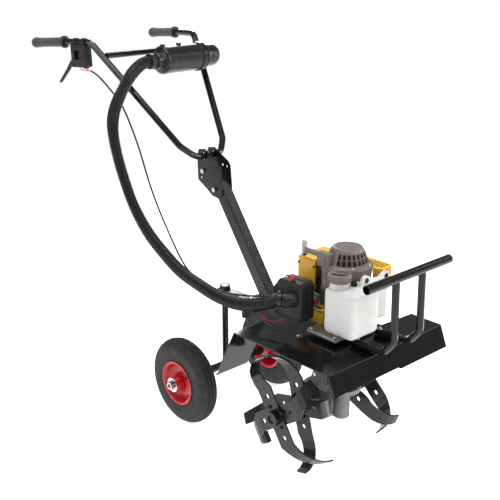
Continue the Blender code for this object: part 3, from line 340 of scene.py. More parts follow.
def floor_look():
    g = Graph("floor")
    colour = g.ramp(g.noise(1.3, 2.0), [(0.3, (0.93, 0.93, 0.93)), (0.7, (0.95, 0.95, 0.95))])
    g.bump(g.noise(60.0, 2.0), 0.02, 0.001)
    g.shader.inputs["Specular IOR Level"].default_value = 0.1
    g.shader.inputs["Emission Color"].default_value = (1.0, 1.0, 1.0, 1.0)
    g.shader.inputs["Emission Strength"].default_value = 0.76
    return g.done(colour, g.spread(g.noise(5.0), 0.75, 0.85))


bm = bmesh.new()
bmesh.ops.create_circle(bm, cap_ends=True, segments=96, radius=60.0)
floor_mesh = bpy.data.meshes.new("floor")
bm.to_mesh(floor_mesh)
bm.free()
floor = bpy.data.objects.new("floor", floor_mesh)
floor.location = (0.0, 0.0, -0.0005)
floor_mesh.materials.append(floor_look())
bpy.context.scene.collection.objects.link(floor)


# ------------------------------------------------------------------ mesh helpers
def piece(name, mesh, look, body, slot=None, smooth=38.0, replaces=()):
    """New object riding on a body; its mesh is in the row frame."""
    obj = bpy.data.objects.new(name, mesh)
    bpy.context.scene.collection.objects.link(obj)
    mesh.materials.append(M[look])
    if smooth:
        mesh.shade_smooth()
        mesh.set_sharp_from_angle(angle=math.radians(smooth))
    if body is not None:
        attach(obj, body)
    if replaces:
        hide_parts(*replaces)
    return obj


def to_mesh(bm, name):
    bmesh.ops.recalc_face_normals(bm, faces=bm.faces)
    mesh = bpy.data.meshes.new(name)
    bm.to_mesh(mesh)
    bm.free()
    return mesh


def frame_of(origin, direction, up=(0.0, 0.0, 1.0)):
    """Matrix whose Z runs along a direction, at a point."""
    z = Vector(direction).normalized()
    y = Vector(up)
    if abs(z.dot(y)) > 0.95:
        y = Vector((0.0, 1.0, 0.0))
    x = y.cross(z).normalized()
    y = z.cross(x)
    return Matrix.Translation(Vector(origin)) @ Matrix((x, y, z)).transposed().to_4x4()


def turned(x, y, angle):
    """Matrix for a piece repeated round the upright axis at x, y."""
    return Matrix.Translation(at(x, y, 0.0)) @ Matrix.Rotation(angle, 4, "Z")


def add_lathe(bm, profile, matrix, steps=48, wobble=None):
    """Revolve (radius, height) points about Z of the matrix; wobble(i, angle) changes a radius."""
    rings = []
    for i, (radius, height) in enumerate(profile):
        if radius < 1e-7:
            rings.append([bm.verts.new(matrix @ Vector((0.0, 0.0, height)))])
            continue
        ring = []
        for k in range(steps):
            a = 2 * math.pi * k / steps
            r = radius + (wobble(i, a) if wobble else 0.0)
            ring.append(bm.verts.new(matrix @ Vector((r * math.cos(a), r * math.sin(a), height))))
        rings.append(ring)
    pairs = list(zip(rings, rings[1:]))
    if profile[0][0] > 1e-7 and profile[-1][0] > 1e-7:
        pairs.append((rings[-1], rings[0]))
    for a, b in pairs:
        for k in range(steps):
            n = (k + 1) % steps
            if len(a) == 1 and len(b) == 1:
                continue
            if len(a) == 1:
                bm.faces.new((a[0], b[k], b[n]))
            elif len(b) == 1:
                bm.faces.new((a[k], b[0], a[n]))
            else:
                bm.faces.new((a[k], b[k], b[n], a[n]))
    return bm


def lathe(name, profile, origin, direction, look, body, steps=48, wobble=None, **more):
    bm = add_lathe(bmesh.new(), profile, frame_of(origin, direction), steps, wobble)
    return piece(name, to_mesh(bm, name), look, body, **more)


def dense(points, spacing):
    """Evenly spaced points on a Catmull-Rom curve through the given points."""
    pts = [Vector(p) for p in points]
    pts = [2 * pts[0] - pts[1]] + pts + [2 * pts[-1] - pts[-2]]
    fine = []
    for a, b, c, d in zip(pts, pts[1:], pts[2:], pts[3:]):
        for i in range(40):
            t = i / 40
            fine.append(0.5 * ((2 * b) + (c - a) * t + (2 * a - 5 * b + 4 * c - d) * t * t
                               + (3 * b - a - 3 * c + d) * t * t * t))
    fine.append(pts[-2])
    lengths = [0.0]
    for a, b in zip(fine, fine[1:]):
        lengths.append(lengths[-1] + (b - a).length)
    count = max(2, round(lengths[-1] / spacing))
    out = []
    j = 0
    for i in range(count + 1):
        want = lengths[-1] * i / count
        while j < len(lengths) - 2 and lengths[j + 1] < want:
            j += 1
        step = lengths[j + 1] - lengths[j]
        t = 0.0 if step < 1e-12 else (want - lengths[j]) / step
        out.append(fine[j].lerp(fine[j + 1], min(max(t, 0.0), 1.0)))
    return out


def add_tube(bm, points, radii, sides=16, caps=True):
    """Round tube without twist along points; radii is one radius, or one for each point."""
    tangents = []
    for i in range(len(points)):
        tangents.append((points[min(i + 1, len(points) - 1)] - points[max(i - 1, 0)]).normalized())
    side = tangents[0].orthogonal().normalized()
    rings = []
    for i, (point, tangent) in enumerate(zip(points, tangents)):
        side = (side - tangent * side.dot(tangent)).normalized()
        other = tangent.cross(side)
        r = radii[i] if hasattr(radii, "__len__") else radii
        rings.append([bm.verts.new(point + (side * math.cos(a) + other * math.sin(a)) * r)
                      for a in (2 * math.pi * k / sides for k in range(sides))])
    for a, b in zip(rings, rings[1:]):
        for k in range(sides):
            n = (k + 1) % sides
            bm.faces.new((a[k], a[n], b[n], b[k]))
    if caps:
        bm.faces.new(list(reversed(rings[0])))
        bm.faces.new(rings[-1])
    return bm


def tube(name, points, radii, look, body, sides=16, **more):
    bm = add_tube(bmesh.new(), points, radii, sides)
    return piece(name, to_mesh(bm, name), look, body, **more)


def add_box(bm, low, high, matrix=None, edge=0.0, segments=2):
    """Box with rounded edges."""
    low, high = Vector(low), Vector(high)
    centre = Matrix.Translation((low + high) / 2) @ Matrix.Diagonal((*(high - low), 1.0))
    made = bmesh.ops.create_cube(bm, size=1.0, matrix=centre)
    if edge:
        edges = list({e for v in made["verts"] for e in v.link_edges})
        made = bmesh.ops.bevel(bm, geom=edges, offset=edge, segments=segments, affect="EDGES", profile=0.5)
    if matrix is not None:
        verts = list({v for f in made["faces"] for v in f.verts}) if edge else made["verts"]
        bmesh.ops.transform(bm, matrix=matrix, verts=verts)
    return bm


def block(name, low, high, look, body, edge=0.002, segments=3, matrix=None, **more):
    bm = add_box(bmesh.new(), low, high, matrix, edge, segments)
    return piece(name, to_mesh(bm, name), look, body, **more)


def add_bolt(bm, origin, direction, head=0.0065, height=0.0045, washer=0.0, turn=0.0):
    """Hexagon head with chamfer and dished top, on an optional washer; the face it sits on is at the origin."""
    place = frame_of(origin, direction) @ Matrix.Rotation(turn, 4, "Z")
    base = 0.0
    if washer:
        add_lathe(bm, [(washer, 0.0), (washer, 0.0011), (washer - 0.0004, 0.0015), (0.0, 0.0015)], place, 28)
        base = 0.0015
    top, dish = base + height, base + height * 0.86
    hexagon = [(head, base), (head, base + height * 0.82), (head * 0.86, top), (head * 0.55, top),
               (head * 0.45, dish), (0.0, dish)]
    add_lathe(bm, hexagon, place, 6)
    return bm


def add_screw(bm, origin, direction, head=0.0045, height=0.0026):
    """Domed screw head with a hexagon socket."""
    place = frame_of(origin, direction)
    add_lathe(bm, [(head, 0.0), (head, height * 0.5), (head * 0.8, height * 0.9), (head * 0.5, height),
                   (head * 0.42, height), (head * 0.38, height * 0.3), (0.0, height * 0.25)], place, 20)
    return bm




# ------------------------------------------------------------------ CAD nodes that stay, with their materials
LOOKS = {
    "deck_paint": ["guard_sheet"],
    "black_paint": ["chassis_beam", "mast_foot_plate", "mast_tube", "right_bracket_plate", "left_bracket_plate",
                    "canister_clamp"],
    "tube_paint": ["bumper", "handlebar_tube", "handlebar_cross_tube", "wheel_post"],
    "tine_paint": ["right_outer_tines", "right_inner_tines", "left_inner_tines", "left_outer_tines"],
    "black_plastic": ["throttle_lever", "intake_box_base", "intake_box_cover", "starter_reel"],
    "foam": ["right_grip", "left_grip"],
    "yellow": ["engine_shroud", "muffler_cover"],
    "grey_plastic": ["starter_housing", "fan_housing", "fuel_cap"],
    "tank_white": ["fuel_tank"],
    "light_grey": ["spark_plug", "starter_handle"],
    "zinc": ["handlebar_tilt_bolt", "handlebar_lock_bolt", "wheel_axle"],
    "cast": ["gearbox_case"],
    "aluminium": ["engine_flange", "crankcase", "cylinder", "flywheel", "carburettor"],
    "dark_steel": ["tine_shaft", "worm_wheel", "worm_shaft", "clutch_drum", "crankshaft",
                   "engine_pedestal", "muffler"],
    "red_plastic": ["stop_switch", "choke_knob", "primer_bulb"],
    "filter": ["intake_filter", "canister_filter"],
}
for look, names in LOOKS.items():
    for name in names:
        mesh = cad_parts[name].data
        mesh.materials.clear()
        mesh.materials.append(M[look])

# ------------------------------------------------------------------ intake hose and throttle cable
CAN_X, CAN_Y0, CAN_Y1, CAN_Z, CAN_R = -0.558, -0.048, 0.120, 1.110, 0.044
ELBOW = Vector((0.155, -0.161, 0.540))
NOZZLE_DIR = Vector((-0.8, -0.6, 0.0))
NOZZLE_END = ELBOW + NOZZLE_DIR * 0.0226
HOSE_POINTS = [
    (CAN_X, CAN_Y0 - 0.0203, CAN_Z), (CAN_X, CAN_Y0 - 0.034, CAN_Z), (-0.556, -0.104, 1.109),
    (-0.546, -0.135, 1.102), (-0.529, -0.180, 1.080), (-0.530, -0.214, 1.036), (-0.553, -0.230, 0.975),
    (-0.567, -0.230, 0.917), (-0.560, -0.225, 0.843), (-0.534, -0.220, 0.762), (-0.493, -0.215, 0.678),
    (-0.428, -0.210, 0.604), (-0.346, -0.205, 0.548), (-0.274, -0.202, 0.513), (-0.190, -0.201, 0.495),
    (-0.110, -0.202, 0.485), (-0.022, -0.204, 0.489), (0.050, -0.203, 0.507), (0.094, -0.195, 0.5235),
    tuple(NOZZLE_END + NOZZLE_DIR * 0.018), tuple(NOZZLE_END + NOZZLE_DIR * 0.0004),
]
HOSE_R = 0.0188
RIB_PITCH = 0.0066
RIB = [0.0, 0.0, -0.0028, -0.0034, -0.0028]
hose_line = dense([at(*p) for p in HOSE_POINTS], RIB_PITCH / len(RIB))
hose_radii = [HOSE_R + RIB[i % len(RIB)] for i in range(len(hose_line))]
bm = add_tube(bmesh.new(), hose_line, hose_radii, 28)
hose = piece("hose_ribbed", to_mesh(bm, "hose_ribbed"), "rubber", None, "rubber", 60, ["intake_hose"])
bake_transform(hose)

CABLE_POINTS = [
    (-0.700, -0.212, 1.078), (-0.676, -0.205, 1.066), (-0.638, -0.190, 1.030), (-0.580, -0.180, 0.974),
    (-0.525, -0.170, 0.868), (-0.468, -0.166, 0.737), (-0.405, -0.166, 0.638), (-0.312, -0.169, 0.530),
    (-0.238, -0.172, 0.4965), (-0.150, -0.170, 0.486), (-0.070, -0.158, 0.489), (-0.005, -0.128, 0.496),
    (0.040, -0.098, 0.505), (0.080, -0.083, 0.514), (0.1278, -0.080, 0.5180),
]
CABLE_R = 0.0028
cable_line = dense([at(*p) for p in CABLE_POINTS], 0.004)
bm = add_tube(bmesh.new(), cable_line, CABLE_R, 14)
cable = piece("throttle_cable_sheath", to_mesh(bm, "throttle_cable_sheath"), "black_wire", None, "black_plastic",
              60, ["throttle_cable"])
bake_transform(cable)

# ------------------------------------------------------------------ canister on the handlebar
BARREL = [
    (0.0260, CAN_Y1), (CAN_R - 0.0025, CAN_Y1), (CAN_R - 0.0008, CAN_Y1 - 0.0008), (CAN_R, CAN_Y1 - 0.0030),
    (CAN_R, CAN_Y1 - 0.0200), (CAN_R - 0.0010, CAN_Y1 - 0.0210), (CAN_R - 0.0010, CAN_Y0 + 0.0200),
    (CAN_R, CAN_Y0 + 0.0190), (CAN_R, CAN_Y0 + 0.0080), (CAN_R - 0.0010, CAN_Y0 + 0.0052),
    (0.0400, CAN_Y0 + 0.0020), (0.0370, CAN_Y0), (0.0300, CAN_Y0 - 0.0016), (0.0276, CAN_Y0 - 0.0030),
    (0.0270, CAN_Y0 - 0.0060),
    (0.0270, CAN_Y0 - 0.0185), (0.0262, CAN_Y0 - 0.0200), (0.0200, CAN_Y0 - 0.0200), (0.0200, CAN_Y0 + 0.0030),
    (CAN_R - 0.0030, CAN_Y0 + 0.0080), (CAN_R - 0.0030, CAN_Y1 - 0.0040), (0.0260, CAN_Y1 - 0.0040),
]
lathe("canister_barrel", BARREL, at(CAN_X, 0.0, CAN_Z), (0, 1, 0), "gloss_plastic", "handlebar", 72,
      slot="black_plastic", replaces=["canister_body"])
DOME = [(0.0, 0.0660), (0.0120, 0.0655), (0.0210, 0.0635), (0.0280, 0.0590), (0.0325, 0.0520), (0.0345, 0.0430),
        (0.0350, 0.0300), (0.0352, 0.0060), (0.0358, 0.0035), (0.0430, 0.0030), (0.0440, 0.0020), (0.0440, 0.0004),
        (0.0320, 0.0004), (0.0320, 0.0430), (0.0280, 0.0530), (0.0200, 0.0610), (0.0, 0.0630)]
lathe("canister_dome", DOME, at(CAN_X, CAN_Y1 + 0.0001, CAN_Z), (0, 1, 0), "gloss_plastic", "handlebar", 72,
      slot="black_plastic", replaces=["canister_cap"])
bm = bmesh.new()
for y in (-0.034, 0.030):
    add_box(bm, at(CAN_X - 0.006, y - 0.007, CAN_Z + CAN_R - 0.003),
            at(CAN_X + 0.006, y + 0.007, CAN_Z + CAN_R + 0.0045), edge=0.002)
piece("canister_lugs", to_mesh(bm, "canister_lugs"), "black_plastic", "handlebar", "black_plastic")
bm = bmesh.new()
add_lathe(bm, [(0.0202, 0.0), (0.0232, 0.0), (0.0240, 0.0010), (0.0240, 0.0200), (0.0230, 0.0215), (0.0202, 0.0215)],
          frame_of(at(CAN_X, CAN_Y0 - 0.0425, CAN_Z), (0, 1, 0)), 56)
for y in (CAN_Y0 - 0.0385, CAN_Y0 - 0.0275):
    add_lathe(bm, [(0.0238, 0.0), (0.0246, 0.0006), (0.0246, 0.0024), (0.0238, 0.0030)],
              frame_of(at(CAN_X, y, CAN_Z), (0, 1, 0)), 56)
piece("hose_cuff_upper", to_mesh(bm, "hose_cuff_upper"), "rubber", "handlebar", "rubber")

# ------------------------------------------------------------------ wheels
WHEEL_X, WHEEL_Y, WHEEL_Z = -0.285, 0.193, 0.140
TREAD = [
    (0.0658, 0.0200), (0.0672, 0.0262), (0.0730, 0.0302), (0.0800, 0.0325), (0.0860, 0.0333), (0.0880, 0.0325),
    (0.0900, 0.0333), (0.1020, 0.0331), (0.1120, 0.0320), (0.1180, 0.0304), (0.1192, 0.0290), (0.1210, 0.0296),
    (0.1270, 0.0266), (0.1320, 0.0224), (0.1352, 0.0180), (0.1368, 0.0150), (0.1346, 0.0138), (0.1348, 0.0120),
    (0.1382, 0.0108), (0.1398, 0.0050), (0.1376, 0.0036), (0.1376, 0.0020), (0.1400, 0.0010),
]
TREAD = TREAD + [(r, -h) for r, h in reversed(TREAD)]
RIM = [
    (0.0102, 0.0490), (0.0228, 0.0490), (0.0240, 0.0478), (0.0246, 0.0450), (0.0232, 0.0430), (0.0246, 0.0410),
    (0.0246, 0.0375), (0.0232, 0.0355), (0.0246, 0.0335),
    (0.0246, 0.0285), (0.0232, 0.0265), (0.0246, 0.0245), (0.0246, 0.0215), (0.0250, 0.0165), (0.0280, 0.0125),
    (0.0340, 0.0100), (0.0430, 0.0098), (0.0500, 0.0120), (0.0560, 0.0175), (0.0600, 0.0250), (0.0625, 0.0310),
    (0.0650, 0.0333), (0.0690, 0.0346), (0.0722, 0.0345), (0.0733, 0.0332), (0.0725, 0.0315), (0.0665, 0.0290),
    (0.0657, 0.0280), (0.0657, -0.0280), (0.0665, -0.0290), (0.0725, -0.0315), (0.0733, -0.0332), (0.0722, -0.0345),
    (0.0690, -0.0346), (0.0650, -0.0333), (0.0625, -0.0310), (0.0600, -0.0250), (0.0560, 0.0100), (0.0500, 0.0085),
    (0.0430, 0.0070), (0.0340, 0.0070), (0.0250, 0.0080), (0.0240, 0.0000), (0.0240, -0.0388), (0.0228, -0.0400),
    (0.0102, -0.0400),
]
LUGS = {i for i, (r, h) in enumerate(TREAD) if 0.1265 < r < 0.1365 and abs(h) > 0.013}
for side, tag in ((-1, "right"), (1, "left")):
    centre = at(WHEEL_X, side * WHEEL_Y, WHEEL_Z)
    outward = (0, side, 0)
    lathe(tag + "_tyre_tread", TREAD, centre, outward, "tyre", tag + "_wheel", 240,
          wobble=lambda i, a: -0.0011 if i in LUGS and (a * 120 / math.pi) % 4 < 1.5 else 0.0,
          slot="tyre", smooth=32, replaces=[tag + "_tyre"])
    lathe(tag + "_rim_dish", RIM, centre, outward, "red_paint", tag + "_wheel", 72, slot="red_paint",
          replaces=[tag + "_rim"])
    bm = bmesh.new()
    axle_end = frame_of(centre + Vector(outward) * 0.0636, outward)
    stud = [(0.0, 0.0), (0.0072, 0.0), (0.0078, -0.0006), (0.0078, -0.0050), (0.0, -0.0050)]
    add_lathe(bm, stud, axle_end, 28)
    hexagon = [(0.0128, -0.0200), (0.0138, -0.0190), (0.0138, -0.0034), (0.0122, -0.0020), (0.0078, -0.0020)]
    add_lathe(bm, hexagon, axle_end, 6)
    piece(tag + "_hub_nut", to_mesh(bm, "nut"), "dark_steel", "wheel_frame", "zinc", smooth=25)
    bm = bmesh.new()
    stem = centre + Vector((0.036, side * 0.0100, 0.026))
    add_tube(bm, [stem, stem + Vector((0.001, side * 0.010, 0.001)), stem + Vector((0.002, side * 0.020, 0.002))],
             [0.0036, 0.0030, 0.0030], 16)
    piece(tag + "_valve", to_mesh(bm, "valve"), "black_plastic", tag + "_wheel", "rubber")

# ------------------------------------------------------------------ engine details

def cone_patch(bm, a0, a1, z0, z1, lift, depth=0.0012):
    """Small curved plate on the starter's conical side, between two angles (degrees) and two heights."""
    def radius(z):
        if z < 0.650:
            return 0.0600 - (z - 0.632) * (0.0065 / 0.018)
        return 0.0535 - (z - 0.650) * (0.0065 / 0.017)

    rings = []
    for extra in (lift, lift - depth):
        ring = []
        for a, z in ((a0, z0), ((a0 + a1) / 2, z0), (a1, z0), (a1 - 1, z1), ((a0 + a1) / 2, z1), (a0 + 1, z1)):
            r = radius(z) + extra
            turn = math.radians(a)
            ring.append(bm.verts.new(at(CRANK_X + r * math.cos(turn), r * math.sin(turn), z)))
        rings.append(ring)
    bm.faces.new(rings[0])
    bm.faces.new(list(reversed(rings[1])))
    for k in range(6):
        n = (k + 1) % 6
        bm.faces.new((rings[0][k], rings[1][k], rings[1][n], rings[0][n]))


# The starter's vent windows are not cut: thin near-black patches on the cone paint the shade inside them; the grey
# ribs between them are real shape.
vent_shade = bmesh.new()
ribs = bmesh.new()
for k in range(20):
    a = -72.0 + 15.0 * k
    if 170.0 < a < 262.0:  # the rope boss stands here
        continue
    cone_patch(vent_shade, a - 5.2, a + 5.2, 0.6345, 0.6485, 0.0004)
    cone_patch(vent_shade, a - 4.8, a + 4.8, 0.6515, 0.6640, 0.0004)
    cone_patch(ribs, a + 6.0, a + 9.0, 0.6335, 0.6495, 0.0011, 0.0020)
    cone_patch(ribs, a + 6.0, a + 9.0, 0.6505, 0.6655, 0.0011, 0.0020)
piece("starter_vent_shade", to_mesh(vent_shade, "starter_vent_shade"), "painted_hole_shade", "chassis", "black_plastic", smooth=30)
piece("starter_ribs", to_mesh(ribs, "starter_ribs"), "grey_plastic", "chassis", "grey_plastic", smooth=30)
bm = bmesh.new()
top = frame_of(at(CRANK_X, 0, 0.6758), UP)
add_lathe(bm, [(0.0300, 0.0), (0.0306, 0.0008), (0.0330, 0.0008), (0.0336, 0.0)], top, 64)
add_lathe(bm, [(0.0, 0.0009), (0.0100, 0.0008), (0.0110, 0.0)], top, 40)
for k in range(8):
    place = turned(CRANK_X, 0, 2 * math.pi * k / 8 + 0.2)
    add_box(bm, (0.0130, -0.0008, 0.6757), (0.0290, 0.0008, 0.6765), place)
piece("starter_top_relief", to_mesh(bm, "relief"), "grey_plastic", "chassis", "grey_plastic")
bm = bmesh.new()
add_lathe(bm, [(0.0, 0.0011), (0.0040, 0.0009), (0.0046, 0.0), (0.0, 0.0)],
          frame_of(at(0.192, -0.0710, 0.648), (0, -1, 0)), 28)
piece("starter_dot", to_mesh(bm, "dot"), "red_wire", "chassis", "red_plastic")
block("starter_handle_end", at(0.0985, -0.0690, 0.6355), at(0.1125, -0.0550, 0.6440), "black_plastic",
      "starter_pull", 0.0025, slot="black_plastic")
bm = bmesh.new()
for k in range(5):
    z = 0.650 + 0.0055 * k
    add_lathe(bm, [(0.0066, 0.0), (0.0079, 0.0006), (0.0079, 0.0018), (0.0066, 0.0024)],
              frame_of(at(0.1055, -0.062, z), UP), 28)
piece("starter_handle_grip", to_mesh(bm, "handle_grip"), "light_grey", "starter_pull", "light_grey")
bm = bmesh.new()
for a in (-150, -35, 20, 80, 150):
    spot = at(CRANK_X + 0.0655 * math.cos(math.radians(a)), 0.0655 * math.sin(math.radians(a)), 0.6292)
    add_bolt(bm, spot, UP, 0.0034, 0.0030, 0.0045)
piece("starter_bolts", to_mesh(bm, "starter_bolts"), "zinc", "chassis", "zinc", smooth=30)

CAP_X, CAP_Y = 0.270, -0.096
bm = bmesh.new()
for k in range(30):
    place = turned(CAP_X, CAP_Y, 2 * math.pi * k / 30)
    add_box(bm, (0.0320, -0.0011, 0.6160), (0.0332, 0.0011, 0.6280), place, 0.0004, 1)
add_box(bm, (-0.0200, -0.0028, 0.6285), (0.0200, 0.0028, 0.6352), turned(CAP_X, CAP_Y, 0.5), 0.0014, 2)
piece("fuel_cap_grip", to_mesh(bm, "cap_grip"), "grey_plastic", "fuel_cap", "grey_plastic")

bm = bmesh.new()
for y, z in ((-0.034, 0.6100), (0.0480, 0.6035)):
    add_bolt(bm, at(0.3127, y, z), (1, 0, 0), 0.0042, 0.0034, 0.0078, 0.3)
piece("tank_screws", to_mesh(bm, "tank_screws"), "dark_steel", "chassis", "dark_steel", smooth=30)
bm = bmesh.new()
add_box(bm, at(0.286, -0.0700, 0.5975), at(0.302, -0.0600, 0.6120), None, 0.002)
add_bolt(bm, at(0.3018, -0.0650, 0.6050), (1, 0, 0), 0.0034, 0.0026, 0.0044)
piece("tank_clip", to_mesh(bm, "tank_clip"), "dark_steel", "chassis", "dark_steel", smooth=30)
bm = bmesh.new()
add_lathe(bm, [(0.0262, 0.0), (0.0272, 0.0006), (0.0272, 0.0024), (0.0262, 0.0030)],
          frame_of(at(CAP_X, CAP_Y, 0.6105), UP), 48)
piece("tank_seam", to_mesh(bm, "tank_seam"), "tank_white", "chassis", "tank_white")

BX0, BX1, BY0, BZ0, BZ1 = 0.072, 0.183, -0.152, 0.474, 0.588


def on_nozzle(shift):
    """Matrix whose Z runs out along the intake box's nozzle, this far past its end."""
    return frame_of(at(*(NOZZLE_END + NOZZLE_DIR * shift)), NOZZLE_DIR)


bm = bmesh.new()
lip = [(BX0 + 0.007, BZ0), (BX1 - 0.007, BZ0), (BX1, BZ0 + 0.007), (BX1, BZ1 - 0.007), (BX1 - 0.007, BZ1),
       (BX0 + 0.025, BZ1), (BX0, BZ1 - 0.033), (BX0, BZ0 + 0.007)]
loop = [at(x, -0.1200, z) for x, z in lip]
add_tube(bm, loop + loop[:1], 0.0022, 8)
panel_lip = [at(x + (0.1275 - x) * 0.14, BY0 + 0.0002, z + (0.531 - z) * 0.14) for x, z in lip]
add_tube(bm, panel_lip + panel_lip[:1], 0.0012, 8)
for x, z in ((0.090, 0.486), (0.172, 0.486), (0.172, 0.576)):
    add_screw(bm, at(x, BY0 + 0.0006, z), (0, -1, 0), 0.0042, 0.0026)
for k in range(4):
    z = 0.496 + 0.020 * k
    add_box(bm, at(BX1 - 0.0008, -0.1440, z), at(BX1 + 0.0012, -0.1260, z + 0.0035), None, 0.0008, 1)
piece("intake_box_trim", to_mesh(bm, "box_trim"), "black_plastic", "chassis", "black_plastic")
bm = bmesh.new()
add_lathe(bm, [(0.0200, 0.0), (0.0214, 0.0006), (0.0214, 0.0044), (0.0200, 0.0050)], on_nozzle(-0.0060), 48)
piece("nozzle_bead", to_mesh(bm, "nozzle_bead"), "gloss_plastic", "chassis", "black_plastic")
bm = bmesh.new()
add_lathe(bm, [(0.0189, 0.0), (0.0204, 0.0006), (0.0204, 0.0112), (0.0189, 0.0118)],
          on_nozzle(0.0030), 56)
add_box(bm, (-0.0045, 0.0185, -0.0045), (0.0045, 0.0255, 0.0045), on_nozzle(0.0088), 0.0012, 2)
piece("hose_clamp", to_mesh(bm, "hose_clamp"), "dark_steel", "chassis", "dark_steel")
bm = bmesh.new()
add_lathe(bm, [(0.0, 0.0042), (0.0026, 0.0036), (0.0034, 0.0)], frame_of(at(0.112, -0.135, BZ1 - 0.0002), UP), 20)
piece("choke_mark", to_mesh(bm, "choke_mark"), "yellow", "chassis", "yellow")

bm = bmesh.new()
add_lathe(bm, [(0.0088, 0.0), (0.0088, 0.0026), (0.0100, 0.0032), (0.0118, 0.0032), (0.0124, 0.0024), (0.0124, 0.0)],
          frame_of(at(0.1680, -0.080, 0.520), (1, 0, 0)), 40)
for y, z in ((-0.0925, 0.5350), (-0.0675, 0.5350), (-0.0925, 0.5050), (-0.0675, 0.5050)):
    add_bolt(bm, at(0.1678, y, z), (1, 0, 0), 0.0026, 0.0020, 0.0034, 0.4)
add_lathe(bm, [(0.0, 0.0), (0.0110, 0.0), (0.0120, 0.0010), (0.0120, 0.0060), (0.0, 0.0060)],
          frame_of(at(0.146, -0.080, 0.5000), (0, 0, -1)), 32)
add_box(bm, at(0.136, -0.0995, 0.5240), at(0.160, -0.0970, 0.5360), None, 0.0008, 1)
piece("carburettor_parts", to_mesh(bm, "carburettor_parts"), "aluminium", "chassis", "aluminium")
FUEL = [(0.1690, -0.0880, 0.5060), (0.1800, -0.0920, 0.5020), (0.2000, -0.0990, 0.5060), (0.2200, -0.1030, 0.5160),
        (0.2436, -0.1040, 0.5260)]
FUEL_R = 0.0021
fuel_path = dense([at(*p) for p in FUEL], 0.003)
fuel = tube("fuel_line", fuel_path, FUEL_R, "fuel_line", "chassis", 14, slot="tank_white")

bm = bmesh.new()
for x, y in ((0.172, -0.092), (0.258, -0.092), (0.172, 0.052), (0.258, 0.052)):
    add_bolt(bm, at(x, y, 0.4409), UP, 0.0056, 0.0044, 0.0080, 0.2)
piece("flange_bolts", to_mesh(bm, "flange_bolts"), "zinc", "chassis", "zinc", smooth=30)
# The cover's slots are not cut: thin near-black strips on its top paint the shade inside them.
bm = bmesh.new()
for k in range(6):
    x = 0.232 + 0.0105 * k
    add_box(bm, at(x, 0.050, 0.6190), at(x + 0.0042, 0.086, 0.6201), None, 0.0003, 1)
piece("muffler_slot_shade", to_mesh(bm, "slot_shade_mesh"), "painted_hole_shade", "chassis", "black_plastic", smooth=0)
block("muffler_cover_end", at(0.2900, 0.056, 0.5960), at(0.3030, 0.084, 0.6190), "orange", "chassis", 0.003,
      slot="yellow")
bm = bmesh.new()
for z in (0.480, 0.492):
    add_box(bm, at(0.134, -0.0620, z), at(0.178, -0.0606, z + 0.004), None, 0.0005, 1)
for x, z in ((0.084, 0.610), (0.142, 0.610), (0.142, 0.530)):
    add_screw(bm, at(x, -0.0607, z), (0, -1, 0), 0.0038, 0.0024)
piece("shroud_screws", to_mesh(bm, "shroud_screws"), "dark_steel", "chassis", "dark_steel")

# ------------------------------------------------------------------ gear case, tines, hitch, guard
RX, RZ = 0.135, 0.183
CASE_BOLT_R = 0.0585
TOWER_BOLT_R = 0.0465
bm = bmesh.new()
for side in (-1, 1):
    for k in range(8):
        a = 2 * math.pi * k / 8 + 0.25
        x, z = RX + CASE_BOLT_R * math.cos(a), RZ + CASE_BOLT_R * math.sin(a)
        if abs(x - CRANK_X) < 0.022 and z > 0.17:  # the tower stands here
            continue
        add_bolt(bm, at(x, side * 0.0298, z), (0, side, 0), 0.0040, 0.0034, 0.0056, a)
for k in range(6):
    a = math.radians(60 * k + 33)
    spot = at(CRANK_X + TOWER_BOLT_R * math.cos(a), TOWER_BOLT_R * math.sin(a), 0.2498)
    add_bolt(bm, spot, UP, 0.0046, 0.0042, 0.0064, a)
piece("gear_case_bolts", to_mesh(bm, "case_bolts"), "dark_steel", "chassis", "dark_steel", smooth=30)
bm = bmesh.new()
add_lathe(bm, [(0.0664, -0.0014), (0.0682, -0.0010), (0.0682, 0.0010), (0.0664, 0.0014)],
          frame_of(at(RX, 0, RZ), (0, 1, 0)), 72)
CASE_RELIEF = [(0.0225, 0.0), (0.0262, 0.0004), (0.0275, -0.0012), (0.0500, -0.0010), (0.0512, 0.0004),
               (0.0530, 0.0004), (0.0540, -0.0008)]
for side in (-1, 1):
    add_lathe(bm, CASE_RELIEF, frame_of(at(RX, side * 0.0304, RZ), (0, side, 0)), 64)
add_lathe(bm, [(0.0, 0.0), (0.0100, 0.0), (0.0108, -0.0008), (0.0108, -0.0060), (0.0, -0.0060)],
          frame_of(at(CRANK_X, 0, 0.1440), (0, 0, -1)), 6)
for k in range(5):
    place = turned(CRANK_X, 0, math.radians(72 * k + 12))
    add_box(bm, (0.0330, -0.0018, 0.2500), (0.0400, 0.0018, 0.3050), place, 0.0010, 1)
piece("gear_case_ribs", to_mesh(bm, "case_ribs"), "cast", "chassis", "aluminium")
HUB_BOLT_R = 0.034
HUB_RING = [(0.0127, 0.0), (0.0215, 0.0), (0.0222, 0.0010), (0.0205, 0.0050), (0.0160, 0.0062), (0.0127, 0.0062)]
bm = bmesh.new()
for hub_y, out in ((-0.192, -1), (-0.098, -1), (0.098, 1), (0.192, 1)):
    for k in range(4):
        a = math.radians(45 + 90 * k)
        spot = at(RX + HUB_BOLT_R * math.sin(a), hub_y + out * 0.0050, RZ + HUB_BOLT_R * math.cos(a))
        add_bolt(bm, spot, (0, out, 0), 0.0046, 0.0040, 0.0066, a)
    add_lathe(bm, HUB_RING, frame_of(at(RX, hub_y + out * 0.0046, RZ), (0, out, 0)), 40)
piece("tine_hub_bolts", to_mesh(bm, "tine_bolts"), "dark_steel", "tine_rotor", "dark_steel", smooth=30)
bm = bmesh.new()
